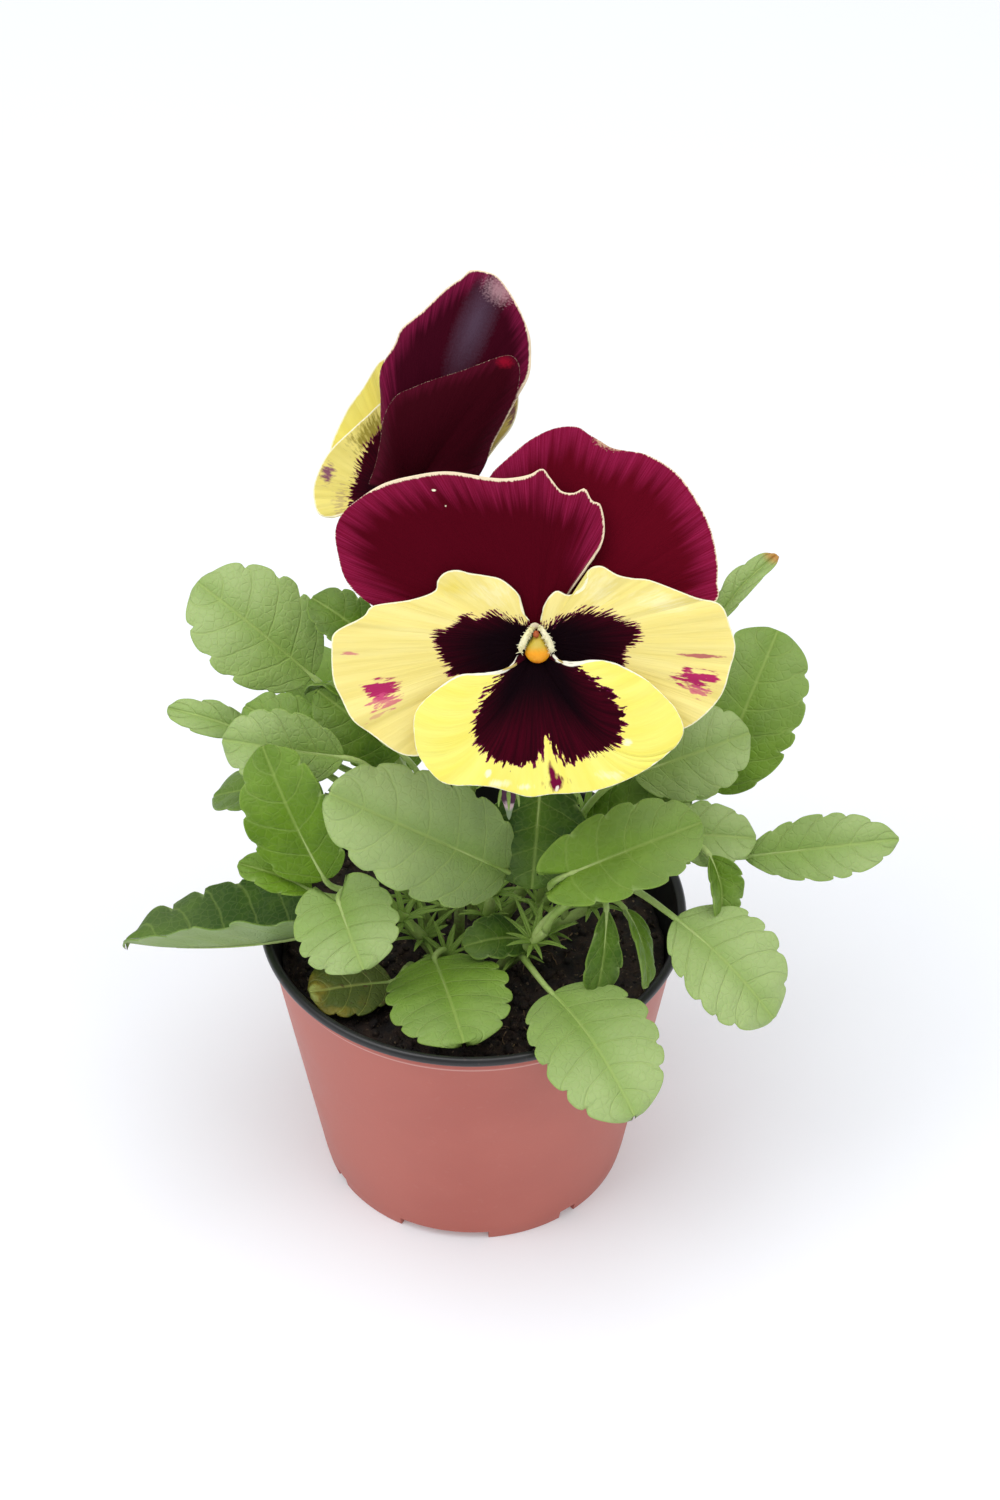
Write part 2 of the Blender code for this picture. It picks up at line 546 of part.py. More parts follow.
def build_soil(stem_feet, parent):
    """The peat: a lumpy top on a plug that clears the pot's wall, with a hole for each stem."""
    wall_run = (WALL_TOP_RADIUS - WALL_FOOT_RADIUS) / (STEP_HEIGHT - FOOT_HEIGHT - FOOT_RISE)
    bottom = FOOT_HEIGHT + FLOOR_THICKNESS + CLEAR
    low_radius = WALL_FOOT_RADIUS - WALL - FLOOR_CURVE - CLEAR
    top_radius = WALL_FOOT_RADIUS - WALL + wall_run * (SOIL_TOP - bottom) - 2 * CLEAR
    draw = random.Random(SEED)
    points = [(0, 0, SOIL_TOP)]
    for ring in range(1, SOIL_RINGS + 1):
        radius = top_radius * ring / SOIL_RINGS
        for step in range(SOIL_SEGMENTS):
            turn = 2 * math.pi * step / SOIL_SEGMENTS
            bump = draw.uniform(-SOIL_BUMP, SOIL_BUMP) if ring < SOIL_RINGS else 0.0
            points.append((radius * math.cos(turn), radius * math.sin(turn), SOIL_TOP + bump))
    for step in range(SOIL_SEGMENTS):
        turn = 2 * math.pi * step / SOIL_SEGMENTS
        points.append((low_radius * math.cos(turn), low_radius * math.sin(turn), bottom))
    n = SOIL_SEGMENTS
    faces = [(0, 1 + s, 1 + (s + 1) % n) for s in range(n)]
    for ring in range(SOIL_RINGS):
        for s in range(n):
            a, b = 1 + ring * n + s, 1 + ring * n + (s + 1) % n
            faces += [(a, a + n, b + n), (a, b + n, b)]
    faces.append(tuple(range(1 + SOIL_RINGS * n, 1 + (SOIL_RINGS + 1) * n)))
    soil = add_object("soil", mesh_of("soil", points, faces), "peat", parent, 80.0)
    cutters = [
        rod_cutter(x, y, SOIL_TOP - HOLE_DEPTH, SOIL_TOP + HOLE_OVER, radius + HOLE_MARGIN, parent)
        for x, y, radius in stem_feet
    ]
    cut(soil, cutters)
    return soil


def leaf_outline(leaf, s):
    """Half the blade's width along the midrib: a rounded oval with scalloped teeth."""
    v = s**leaf.widest
    oval = (4 * v * (1 - v)).clip(0) ** leaf.blunt
    teeth = 1 - TOOTH_DEPTH * (1 - np.abs(np.sin(math.pi * leaf.teeth * s)) ** TOOTH_ROUND)
    teeth = np.where(s < TOOTHLESS_FOOT, 1 - TOOTH_DEPTH / 2, teeth)
    return np.maximum(leaf.width / 2 * oval * teeth, END_HALF_WIDTH)


def leaf_grid(leaf):
    """The blade's middle surface: arched along the midrib and folded up a little beside it."""
    foot, tip = np.array(leaf.foot, float), np.array(leaf.tip, float)
    length = np.linalg.norm(tip - foot)
    ahead = (tip - foot) / length
    face = np.array(leaf.face, float)
    face = unit(face - ahead * np.dot(face, ahead))
    side = np.cross(ahead, face)
    s = np.linspace(0, 1, leaf.teeth * leaf.tooth_steps + 1)[:, None]
    t = np.array([-1.0, 0.0, 1.0])[None, :]
    half = leaf_outline(leaf, s)
    back = leaf.lobe * length * np.abs(t) * (1 - s) ** 3
    half = half + leaf.lobe * leaf.width * 0.45 * (1 - s) ** 4
    rise = leaf.arch * 4 * s * (1 - s) + leaf.fold * np.abs(t) * half
    return foot + (s * length - back)[..., None] * ahead + (t * half)[..., None] * side + rise[..., None] * face


def petiole_path(stem_path, leaf):
    """A curve from the stem to the blade, leaving upwards and ending along the midrib."""
    start = stem_path[int(round(leaf.at * (len(stem_path) - 1)))]
    grid = leaf_grid(leaf)
    foot = grid[0, 1]
    ahead = unit(grid[2, 1] - grid[0, 1])
    reach = np.linalg.norm(foot - start)
    rise = start + np.array((0, 0, PETIOLE_CURVE)) * reach
    run_in = foot - ahead * reach * PETIOLE_CURVE
    t = np.linspace(0, 1, 4)[:, None]
    curve = (1 - t) ** 3 * start + 3 * (1 - t) ** 2 * t * rise + 3 * (1 - t) * t**2 * run_in + t**3 * foot
    return np.vstack([curve, foot + ahead * PETIOLE_SINK])


def stipule_meshes(name, place, draw):
    """A tuft of slim leaflets that fan up and out of the stem, roots sunk in it."""
    tuft = []
    root = np.array(place) - np.array((0, 0, STIPULE_ROOT))
    for number in range(STIPULE_COUNT):
        turn = 2 * math.pi * (number + draw.uniform(-0.2, 0.2)) / STIPULE_COUNT
        lean = Vector((math.cos(turn), math.sin(turn), draw.uniform(0.5, 1.1))).normalized()
        length = STIPULE_LENGTH * draw.uniform(0.75, 1.1)
        tip = np.array(place) + np.array(lean) * length
        tuft.append(spike_mesh(f"{name}_stipule", root, tip, STIPULE_WIDTH))
    return tuft


def build_leafy_stem(stem, parent, finish="leaf_green"):
    """One stem with its petioles, blades and stipules, fused in one solid."""
    draw = random.Random(stem.name)
    path = rooted_path(stem.route, STEM_POINTS)
    taper = np.linspace(STEM_RADIUS, PETIOLE_RADIUS + 0.1, len(path))
    meshes = [tube_mesh(stem.name, path, taper, STEM_SIDES)]
    for leaf in stem.leaves:
        meshes.append(sheet_mesh(f"{stem.name}_blade", leaf_grid(leaf), LEAF_THICKNESS))
        route = petiole_path(path, leaf)
        radii = np.linspace(PETIOLE_RADIUS, PETIOLE_RADIUS * PETIOLE_TAPER, len(route))
        meshes.append(tube_mesh(f"{stem.name}_petiole", route, radii, 4))
    for place in stem.stipules:
        index = int(round(place * (len(path) - 1)))
        meshes += stipule_meshes(stem.name, path[index], draw)
    return fuse(stem.name, meshes, finish, parent)


def petal_grid(petal):
    """The petal's middle surface: rays from the claw to the rim, bowed out of its plane by its bulge.

    Each ray is straight while y is lowered by bend times x squared, so it then curves to the side.
    """
    rim = smooth_path(petal.rim, petal.across + 1)
    rim[:, 1] -= petal.bend * rim[:, 0] ** 2
    claw = np.array(petal.claw, float)
    reach = np.linalg.norm((rim - claw)[:, :2], axis=1)
    start = (CLAW_RADIUS / reach)[None, :, None]
    s = np.linspace(0, 1, petal.along + 1)[:, None, None]
    share = start + (1 - start) * s
    grid = claw + (rim - claw)[None] * share
    grid[..., 1] += petal.bend * grid[..., 0] ** 2
    grid[..., 2] += petal.bulge * 4 * (share * (1 - share))[..., 0]
    return grid


def build_petal(petal, frame):
    """One petal as a thin curved solid."""
    blade = sheet_mesh(petal.name, petal_grid(petal), PETAL_THICKNESS)
    return add_object(petal.name, blade, petal.finish, frame)


def sepal_grid(foot, axis, turn_deg, lean_deg, length):
    """A pointed sepal that leans away from the stalk's axis, turned about it."""
    axis = unit(np.array(axis, float))
    side = unit(np.cross(axis, (1.0, 0.1, 0.0)))
    over = np.cross(axis, side)
    turn, lean = math.radians(turn_deg), math.radians(lean_deg)
    out = math.cos(turn) * side + math.sin(turn) * over
    ahead = math.cos(lean) * axis + math.sin(lean) * out
    across = np.cross(out, axis)
    s = np.array([0.0, 0.5, 1.0])[:, None, None]
    half = SEPAL_WIDTH / 2 * np.array([0.8, 1.0, 0.2])[:, None, None]
    t = np.array([-1.0, 0.0, 1.0])[None, :, None]
    return np.array(foot, float) + s * length * ahead + t * half * across


def build_stalk(name, route, parent, calyx_length, points=STALK_POINTS, sepal=None, spur=False):
    """A flower stalk with the cup of its calyx, in one solid with its five sepals and short spur.

    Where given, sepal is the angle that the sepals lean from the stalk's axis, and their length.
    """
    path = rooted_path(route, points)
    axis = unit(path[-1] - path[-2])
    meshes = [tube_mesh(name, np.vstack([path, path[-1] + axis * 0.8]), STALK_RADIUS, STEM_SIDES)]
    cup = [path[-1], path[-1] + axis * SEPAL_RISE, path[-1] + axis * calyx_length]
    meshes.append(tube_mesh(f"{name}_calyx", cup, [CALYX_RADIUS * 0.8, CALYX_RADIUS, CALYX_RADIUS * 0.9], 6))
    for number in range(SEPAL_COUNT if sepal else 0):
        grid = sepal_grid(cup[1], axis, 90 + number * 360 / SEPAL_COUNT, *sepal)
        meshes.append(sheet_mesh(f"{name}_sepal", grid, LEAF_THICKNESS))
    if spur:
        down = unit(np.array((0, 0, -1.0)) - axis * axis[2] * -1)
        tip = path[-1] - axis * SPUR_LENGTH * 0.5 + down * SPUR_LENGTH * 0.8
        meshes.append(tube_mesh(f"{name}_spur", [cup[1], (cup[1] + tip) / 2, tip], [1.1, 1.2, 0.8], STEM_SIDES))
    return fuse(name, meshes, "stalk_green", parent)


def build_front_centre(frame):
    """The eye: a round head and two slanting bearded cheeks on a core that passes the claws."""
    meshes = [knob_mesh("core", FRONT_CORE, 6), knob_mesh("head", FRONT_HEAD, 10)]
    for side in (-1, 1):
        cheek = [(x * side, y, z, radius) for x, y, z, radius in FRONT_CHEEK]
        meshes.append(knob_mesh("cheek", cheek, STEM_SIDES))
    return fuse("front_bloom_centre", meshes, "orange", frame)


def build_rear_centre(frame):
    """The rear bloom's eye, deep between its folded petals."""
    return add_object("rear_bloom_centre", knob_mesh("head", REAR_HEAD, 8), "orange", frame)


def build_bud(parent):
    """The nodding bud below its hooked stalk: furled petals with five slim sepals round them."""
    top = np.array(BUD_STALK[-1], float)
    ahead = unit(np.array(BUD_TIP, float) - top)
    start = top + ahead * BUD_START
    length = np.linalg.norm(np.array(BUD_TIP) - start)
    shape = [(*(start + ahead * length * along), BUD_RADIUS * share) for along, share in BUD_SHAPE]
    meshes = [knob_mesh("bud", shape, 8)]
    for number in range(SEPAL_COUNT):
        grid = sepal_grid(start + ahead * BUD_SEPAL_FOOT, ahead, number * 360 / SEPAL_COUNT,
                          BUD_SEPAL_LEAN_DEG, BUD_SEPAL_LENGTH)
        meshes.append(spike_mesh("bud_sepal", grid[0, 1], grid[-1, 1], SEPAL_WIDTH / 2))
    return fuse("bud", meshes, "mauve", parent)


def build():
    """Make every piece of the potted plant."""
    axis = add_empty("pot_axis", (POT_AXIS_X, POT_AXIS_Y, 0))
    build_pot(axis)
    for stem in LEAFY_STEMS:
        build_leafy_stem(stem, axis)
    build_leafy_stem(YELLOWING_LEAF, axis, "olive")
    feet = [(*stem.route[0][:2], STEM_RADIUS) for stem in LEAFY_STEMS + [YELLOWING_LEAF]]
    feet += [(*stalk[0][:2], STALK_RADIUS) for stalk in (FRONT_STALK, REAR_STALK, BUD_STALK)]
    build_soil(feet, axis)
    front = add_empty("front_bloom", FRONT_THROAT, axis, 90 - FRONT_TILT_DEG)
    rear = add_empty("rear_bloom", REAR_THROAT, axis, 90 - REAR_TILT_DEG)
    for petal in FRONT_PETALS:
        build_petal(petal, front)
    for petal in REAR_PETALS:
        build_petal(petal, rear)
    build_front_centre(front)
    build_rear_centre(rear)
    build_stalk("front_flower_stalk", FRONT_STALK, axis, FRONT_CALYX_LENGTH,
                sepal=(FRONT_SEPAL_LEAN_DEG, SEPAL_LENGTH), spur=True)
    build_stalk("rear_flower_stalk", REAR_STALK, axis, REAR_CALYX_LENGTH,
                sepal=(REAR_SEPAL_LEAN_DEG, REAR_SEPAL_LENGTH))
    build_stalk("bud_stalk", BUD_STALK, axis, BUD_CALYX_LENGTH, points=BUD_STALK_POINTS)
    build_bud(axis)


for old in list(bpy.data.objects):
    bpy.data.objects.remove(old)
build()
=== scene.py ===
"""Looks of a potted garden viola: every visible surface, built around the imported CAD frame.

Lengths in the tables are millimetres. The plant's own frame stands on the pot's axis: X to the
right, Y to the back, Z up. A bloom's frame has X to the right, Y up its face and Z out of it.
"""

import logging
import math
from dataclasses import dataclass, field
from enum import Enum

import bpy
import numpy as np
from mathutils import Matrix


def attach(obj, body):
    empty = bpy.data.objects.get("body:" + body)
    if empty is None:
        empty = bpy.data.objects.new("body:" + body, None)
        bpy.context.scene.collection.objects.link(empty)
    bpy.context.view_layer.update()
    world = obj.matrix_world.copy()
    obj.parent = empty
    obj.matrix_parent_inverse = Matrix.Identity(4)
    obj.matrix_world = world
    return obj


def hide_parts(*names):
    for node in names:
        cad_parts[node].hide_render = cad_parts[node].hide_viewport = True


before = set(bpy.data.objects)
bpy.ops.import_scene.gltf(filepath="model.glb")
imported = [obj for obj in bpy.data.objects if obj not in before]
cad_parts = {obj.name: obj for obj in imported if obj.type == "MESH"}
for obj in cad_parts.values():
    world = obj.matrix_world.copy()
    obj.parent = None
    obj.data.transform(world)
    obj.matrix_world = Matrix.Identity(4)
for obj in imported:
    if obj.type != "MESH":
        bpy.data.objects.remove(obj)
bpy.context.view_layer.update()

log = logging.getLogger("viola")

MM = 0.001
POT_AXIS = (-7.48, -5.4, 0.0)
UP = np.array((0.0, 0.0, 1.0))
ROOT_BOTTOM = 50.0  # where a stem starts in the peat
ROOT_TOP = 58.0  # where it leaves the peat and begins to lean
CURVE_SAMPLES = 24  # fine steps of a smooth curve for each given point
SOFT_SCALE = 0.001  # how far light travels in flesh, in metres

Point = tuple[float, float, float]
Spot2D = tuple[float, float]
Colour = tuple[float, float, float]
Socket = bpy.types.NodeSocket
Node = bpy.types.Node
Material = bpy.types.Material


def srgb(red: float, green: float, blue: float) -> Colour:
    """A colour given in screen values, turned into the linear values that shaders use.

    Args:
        red: Screen red from 0 to 255.
        green: Screen green from 0 to 255.
        blue: Screen blue from 0 to 255.

    Returns:
        The linear colour, each channel from 0 to 1.
    """
    def linear(value: float) -> float:
        """((v + 0.055) / 1.055) to the power 2.4, or v / 12.92 near black."""
        share = value / 255
        return share / 12.92 if share <= 0.04045 else ((share + 0.055) / 1.055) ** 2.4

    return linear(red), linear(green), linear(blue)


def unit(vectors: np.ndarray) -> np.ndarray:
    """Vectors of length one along the last axis: each vector over its own length."""
    return vectors / np.maximum(np.linalg.norm(vectors, axis=-1, keepdims=True), 1e-9)


def smooth_path(points: list | np.ndarray, count: int) -> np.ndarray:
    """Evenly spread points along the Catmull-Rom curve through the given ones.

    Each stretch is 0.5 (2b + (c - a) t + (2a - 5b + 4c - d) t^2 + (3b - a - 3c + d) t^3).

    Args:
        points: The points that the curve passes.
        count: How many points to give back.

    Returns:
        An array of count points.
    """
    p = np.array(points, float)
    ends = np.vstack([2 * p[0] - p[1], p, 2 * p[-1] - p[-2]])
    u = np.linspace(0, len(p) - 1 - 1e-9, CURVE_SAMPLES * len(p))
    i = u.astype(int)
    t = (u - i)[:, None]
    a, b, c, d = ends[i], ends[i + 1], ends[i + 2], ends[i + 3]
    bend, twist = 2 * a - 5 * b + 4 * c - d, 3 * b - a - 3 * c + d
    fine = 0.5 * (2 * b + (c - a) * t + bend * t**2 + twist * t**3)
    run = np.concatenate([[0], np.cumsum(np.linalg.norm(np.diff(fine, axis=0), axis=1))])
    want = np.linspace(0, run[-1], count)
    return np.column_stack([np.interp(want, run, fine[:, k]) for k in range(p.shape[1])])


def smooth_ring(points: list[Spot2D], count: int) -> np.ndarray:
    """A closed smooth outline through flat points: the open curve run twice round, middle lap kept.

    Args:
        points: Corners of the outline, in order.
        count: How many points to give back.

    Returns:
        An array of count points of two parts.
    """
    corners = list(points)
    lap = smooth_path(corners[-2:] + corners + corners[:3], 4 * count)
    start = np.argmin(np.linalg.norm(lap - corners[0], axis=1)[: 2 * count])
    after = np.linalg.norm(lap - corners[0], axis=1)
    after[: start + count] = np.inf
    stop = np.argmin(after)
    return smooth_path(lap[start:stop:4], count)


def wander(x: np.ndarray, seed: int) -> np.ndarray:
    """A smooth irregular wave between about -1 and 1: a sum of sines of drawn speeds and phases.

    Args:
        x: Where to read the wave; one unit holds about one swell.
        seed: Chooses the wave.

    Returns:
        The heights, shaped as x.
    """
    waves = 5
    draw = np.random.default_rng(seed)
    speed = draw.uniform(0.5, 1.6, waves) * 2 * math.pi
    phase = draw.uniform(0, math.tau, waves)
    return np.sin(np.asarray(x)[..., None] * speed + phase).sum(-1) / math.sqrt(waves) * 0.8


def turn_steps(count: int) -> np.ndarray:
    """The angles of one turn in count equal steps, from 0."""
    return np.arange(count) * math.tau / count


def ease(x: np.ndarray, low: float, high: float) -> np.ndarray:
    """A soft step from 0 at low to 1 at high: 3t^2 - 2t^3 of the clamped share t."""
    t = np.clip((x - low) / (high - low), 0, 1)
    return t * t * (3 - 2 * t)


def path_distance(points: np.ndarray, path: np.ndarray) -> np.ndarray:
    """Distance from flat points to the nearest stretch of an open path.

    Args:
        points: (n, 2) points.
        path: (m, 2) points of the path.

    Returns:
        (n,) distances.
    """
    a, run = path[:-1], np.diff(path, axis=0)
    away = points[:, None] - a[None]
    share = np.clip((away * run).sum(-1) / np.maximum((run * run).sum(-1), 1e-9), 0, 1)
    return np.linalg.norm(away - share[..., None] * run, axis=-1).min(1)


def depth_inside(points: np.ndarray, outline: np.ndarray) -> np.ndarray:
    """How deep flat points lie inside a closed outline: positive inside, negative outside.

    Args:
        points: (n, 2) points.
        outline: (m, 2) corners.

    Returns:
        (n,) signed distances to the outline.
    """
    a, b = outline, np.roll(outline, -1, axis=0)
    away = path_distance(points, np.vstack([outline, outline[:1]]))
    x, y = points[:, :1], points[:, 1:]
    rise = np.where(np.abs(b[:, 1] - a[:, 1]) < 1e-9, 1e-9, b[:, 1] - a[:, 1])
    crosses = ((a[:, 1] > y) != (b[:, 1] > y)) & (x < (b[:, 0] - a[:, 0]) * (y - a[:, 1]) / rise + a[:, 0])
    return np.where(crosses.sum(1) % 2 == 1, away, -away)


@dataclass
class Shell:
    """One closed surface: points, faces, and the values and places carried at its points."""

    points: np.ndarray
    quads: np.ndarray
    tris: np.ndarray = field(default_factory=lambda: np.zeros((0, 3), int))
    uv: np.ndarray | None = None
    values: dict[str, np.ndarray] = field(default_factory=dict)
    slot: int = 0

    def outward(self) -> "Shell":
        """Turn every face over if the signed volume, the sum of a · (b × c) / 6, is negative."""
        q, t = self.quads, self.tris
        corners = np.vstack([q[:, :3], q[:, [0, 2, 3]], t])
        middle = self.points.mean(0)
        a, b, c = (self.points[corners[:, k]] - middle for k in range(3))
        if np.einsum("ij,ij->i", a, np.cross(b, c)).sum() < 0:
            self.quads, self.tris = q[:, ::-1], t[:, ::-1]
        return self


def ring_faces(rows: int, sides: int) -> np.ndarray:
    """Quads between rows of points that each close in a ring.

    Args:
        rows: How many rings.
        sides: How many points a ring has.

    Returns:
        (n, 4) point numbers.
    """
    a = (np.arange(rows - 1)[:, None] * sides + np.arange(sides)[None]).ravel()
    b = (np.arange(rows - 1)[:, None] * sides + (np.arange(sides)[None] + 1) % sides).ravel()
    return np.column_stack([a, b, b + sides, a + sides])


def capped_rings(rings: np.ndarray, poles: object, slot: int = 0) -> Shell:
    """A closed surface of rings, each end closed by triangles on its pole.

    Args:
        rings: (rows, sides, 3) points.
        poles: The two points that close the first and the last ring.
        slot: The material's number on the piece.

    Returns:
        The surface.
    """
    rows, sides = rings.shape[:2]
    count = rows * sides
    here = np.arange(sides)
    after = (here + 1) % sides
    last = count - sides
    first_cap = np.column_stack([np.full(sides, count), after, here])
    last_cap = np.column_stack([last + here, last + after, np.full(sides, count + 1)])
    points = np.vstack([rings.reshape(-1, 3), poles])
    return Shell(points, ring_faces(rows, sides), np.vstack([first_cap, last_cap]), slot=slot).outward()


def tube_shell(path: np.ndarray, radii: np.ndarray | float, sides: int, slot: int = 0) -> Shell:
    """A closed round tube: each path point plus radius times (cos a · side + sin a · over).

    Side and over stand square to the path, held steady by the normal of the path's own plane.

    Args:
        path: (n, 3) points along the middle.
        radii: One radius, or one for each point.
        sides: How many points a ring has.
        slot: The material's number on the piece.

    Returns:
        The tube.
    """
    heading = unit(np.gradient(path, axis=0))
    plane = np.linalg.svd(heading, full_matrices=False)[2][-1]
    side = unit(np.cross(heading, plane))
    over = np.cross(heading, side)
    turn = turn_steps(sides)[None, :, None]
    radius = np.broadcast_to(np.asarray(radii, float), (len(path),))[:, None, None]
    rings = path[:, None] + radius * (np.cos(turn) * side[:, None] + np.sin(turn) * over[:, None])
    return capped_rings(rings, np.vstack([path[0], path[-1]]), slot)


def turned_shell(profile: np.ndarray, segments: int) -> Shell:
    """A solid of revolution about Z: (r cos a, r sin a, z), closed on the axis at both ends.

    Args:
        profile: (n, 2) radii and heights; the first and last radius are 0.
        segments: How many steps one turn has.

    Returns:
        The turned solid.
    """
    turn = turn_steps(segments)
    inner = profile[1:-1]
    x, y = inner[:, :1] * np.cos(turn), inner[:, :1] * np.sin(turn)
    rings = np.stack([x, y, np.broadcast_to(inner[:, 1:], x.shape)], -1)
    return capped_rings(rings, [(0, 0, profile[0, 1]), (0, 0, profile[-1, 1])])


def sheet_shell(
    grid: np.ndarray, inset: np.ndarray, facing: np.ndarray, thickness: float,
    uv: np.ndarray, values: dict[str, np.ndarray], slot: int = 0,
) -> Shell:
    """A closed blade round its middle surface, with a rounded edge.

    Its two faces stand off by thickness / 2 times sqrt(1 - (1 - d / r)^2), where d is the distance
    to the edge and r half the thickness; they share their points along the border.

    Args:
        grid: (rows, columns, 3) middle surface.
        inset: (rows, columns) distance to the edge.
        facing: The way that the upper face looks, roughly.
        thickness: The blade's full thickness.
        uv: (rows, columns, 2) place on the blade.
        values: Named (rows, columns) or (rows, columns, 3) values carried by the surface.
        slot: The material's number on the piece.

    Returns:
        The blade, with the value under, 0 above and 1 below, added.
    """
    rows, columns = grid.shape[:2]
    normal = unit(np.cross(np.gradient(grid, axis=1), np.gradient(grid, axis=0)))
    if (normal * facing).sum() < 0:
        normal = -normal
    near = np.clip(inset / (thickness / 2), 0, 1)
    stand_off = (thickness / 2 * np.sqrt(1 - (1 - near) ** 2))[..., None]
    border = np.zeros((rows, columns), bool)
    border[[0, -1]] = True
    border[:, [0, -1]] = True
    stand_off[border] = 0
    points = np.concatenate([grid + normal * stand_off, grid - normal * stand_off]).reshape(-1, 3)
    upper = np.arange(rows * columns).reshape(rows, columns)
    lower = np.where(border, upper, upper + rows * columns)

    def cells(number: np.ndarray) -> np.ndarray:
        """The four point numbers round each cell of the grid."""
        round_cell = (number[:-1, :-1], number[:-1, 1:], number[1:, 1:], number[1:, :-1])
        return np.stack(round_cell, -1).reshape(-1, 4)

    quads = np.vstack([cells(upper), cells(lower)[:, ::-1]])
    used = np.unique(quads)
    number = np.zeros(len(points), int)
    number[used] = np.arange(len(used))
    carried = {}
    for name, value in values.items():
        flat = np.broadcast_to(value, (rows, columns) + value.shape[2:]).reshape(rows * columns, -1)
        carried[name] = np.vstack([flat, flat])[used].squeeze()
    under = np.concatenate([np.where(border, 0.5, 0.0), np.ones((rows, columns))]).ravel()
    carried["under"] = under[used]
    places = np.vstack([uv.reshape(-1, 2)] * 2)[used]
    return Shell(points[used], number[quads], uv=places, values=carried, slot=slot).outward()


def add_object(name: str, data: object) -> bpy.types.Object:
    """Make an object of some data and put it in the scene."""
    made = bpy.data.objects.new(name, data)
    bpy.context.scene.collection.objects.link(made)
    return made


def make_piece(
    name: str, shells: list[Shell], finishes: list[Material], node: str
) -> bpy.types.Object:
    """Join closed shells into one piece that rides on the root and stands for a CAD node.

    Args:
        name: The piece's name.
        shells: Its surfaces, in the plant's frame, in millimetres.
        finishes: Its materials, by the shells' slot numbers.
        node: The CAD node that it replaces.

    Returns:
        The finished object, at the origin, with its place in its mesh.
    """
    starts = np.cumsum([0] + [len(s.points) for s in shells])
    points = (np.vstack([s.points for s in shells]) + POT_AXIS) * MM
    quads = np.vstack([s.quads + start for s, start in zip(shells, starts)])
    tris = np.vstack([s.tris + start for s, start in zip(shells, starts)])
    mesh = bpy.data.meshes.new(name)
    mesh.vertices.add(len(points))
    mesh.vertices.foreach_set("co", points.astype(np.float32).ravel())
    corners = np.concatenate([quads.ravel(), tris.ravel()]).astype(np.int32)
    sizes = np.concatenate([np.full(len(quads), 4), np.full(len(tris), 3)])
    mesh.loops.add(len(corners))
    mesh.loops.foreach_set("vertex_index", corners)
    mesh.polygons.add(len(sizes))
    mesh.polygons.foreach_set("loop_start", (np.cumsum(sizes) - sizes).astype(np.int32))
    mesh.update(calc_edges=True)
    chosen = [np.full(len(s.quads), s.slot) for s in shells]
    chosen += [np.full(len(s.tris), s.slot) for s in shells]
    mesh.polygons.foreach_set("material_index", np.concatenate(chosen).astype(np.int32))
    if any(s.uv is not None for s in shells):
        places = np.vstack([s.uv if s.uv is not None else np.zeros((len(s.points), 2)) for s in shells])
        layer = mesh.uv_layers.new(name="surface")
        layer.data.foreach_set("uv", places[corners].astype(np.float32).ravel())
    for key in sorted({key for s in shells for key in s.values}):
        wide = max(s.values[key].ndim for s in shells if key in s.values) > 1
        kind, part, shape = ("FLOAT_VECTOR", "vector", (3,)) if wide else ("FLOAT", "value", ())
        carried = [s.values.get(key, np.zeros((len(s.points),) + shape)) for s in shells]
        store = mesh.attributes.new(key, kind, "POINT")
        store.data.foreach_set(part, np.concatenate(carried).astype(np.float32).ravel())
    for finish in finishes:
        mesh.materials.append(finish)
    mesh.shade_smooth()
    mesh.validate()
    piece = add_object(name, mesh)
    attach(piece, "root")
    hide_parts(node)
    log.info("%s: %d triangles, for %s", name, 2 * len(quads) + len(tris), node)
    return piece


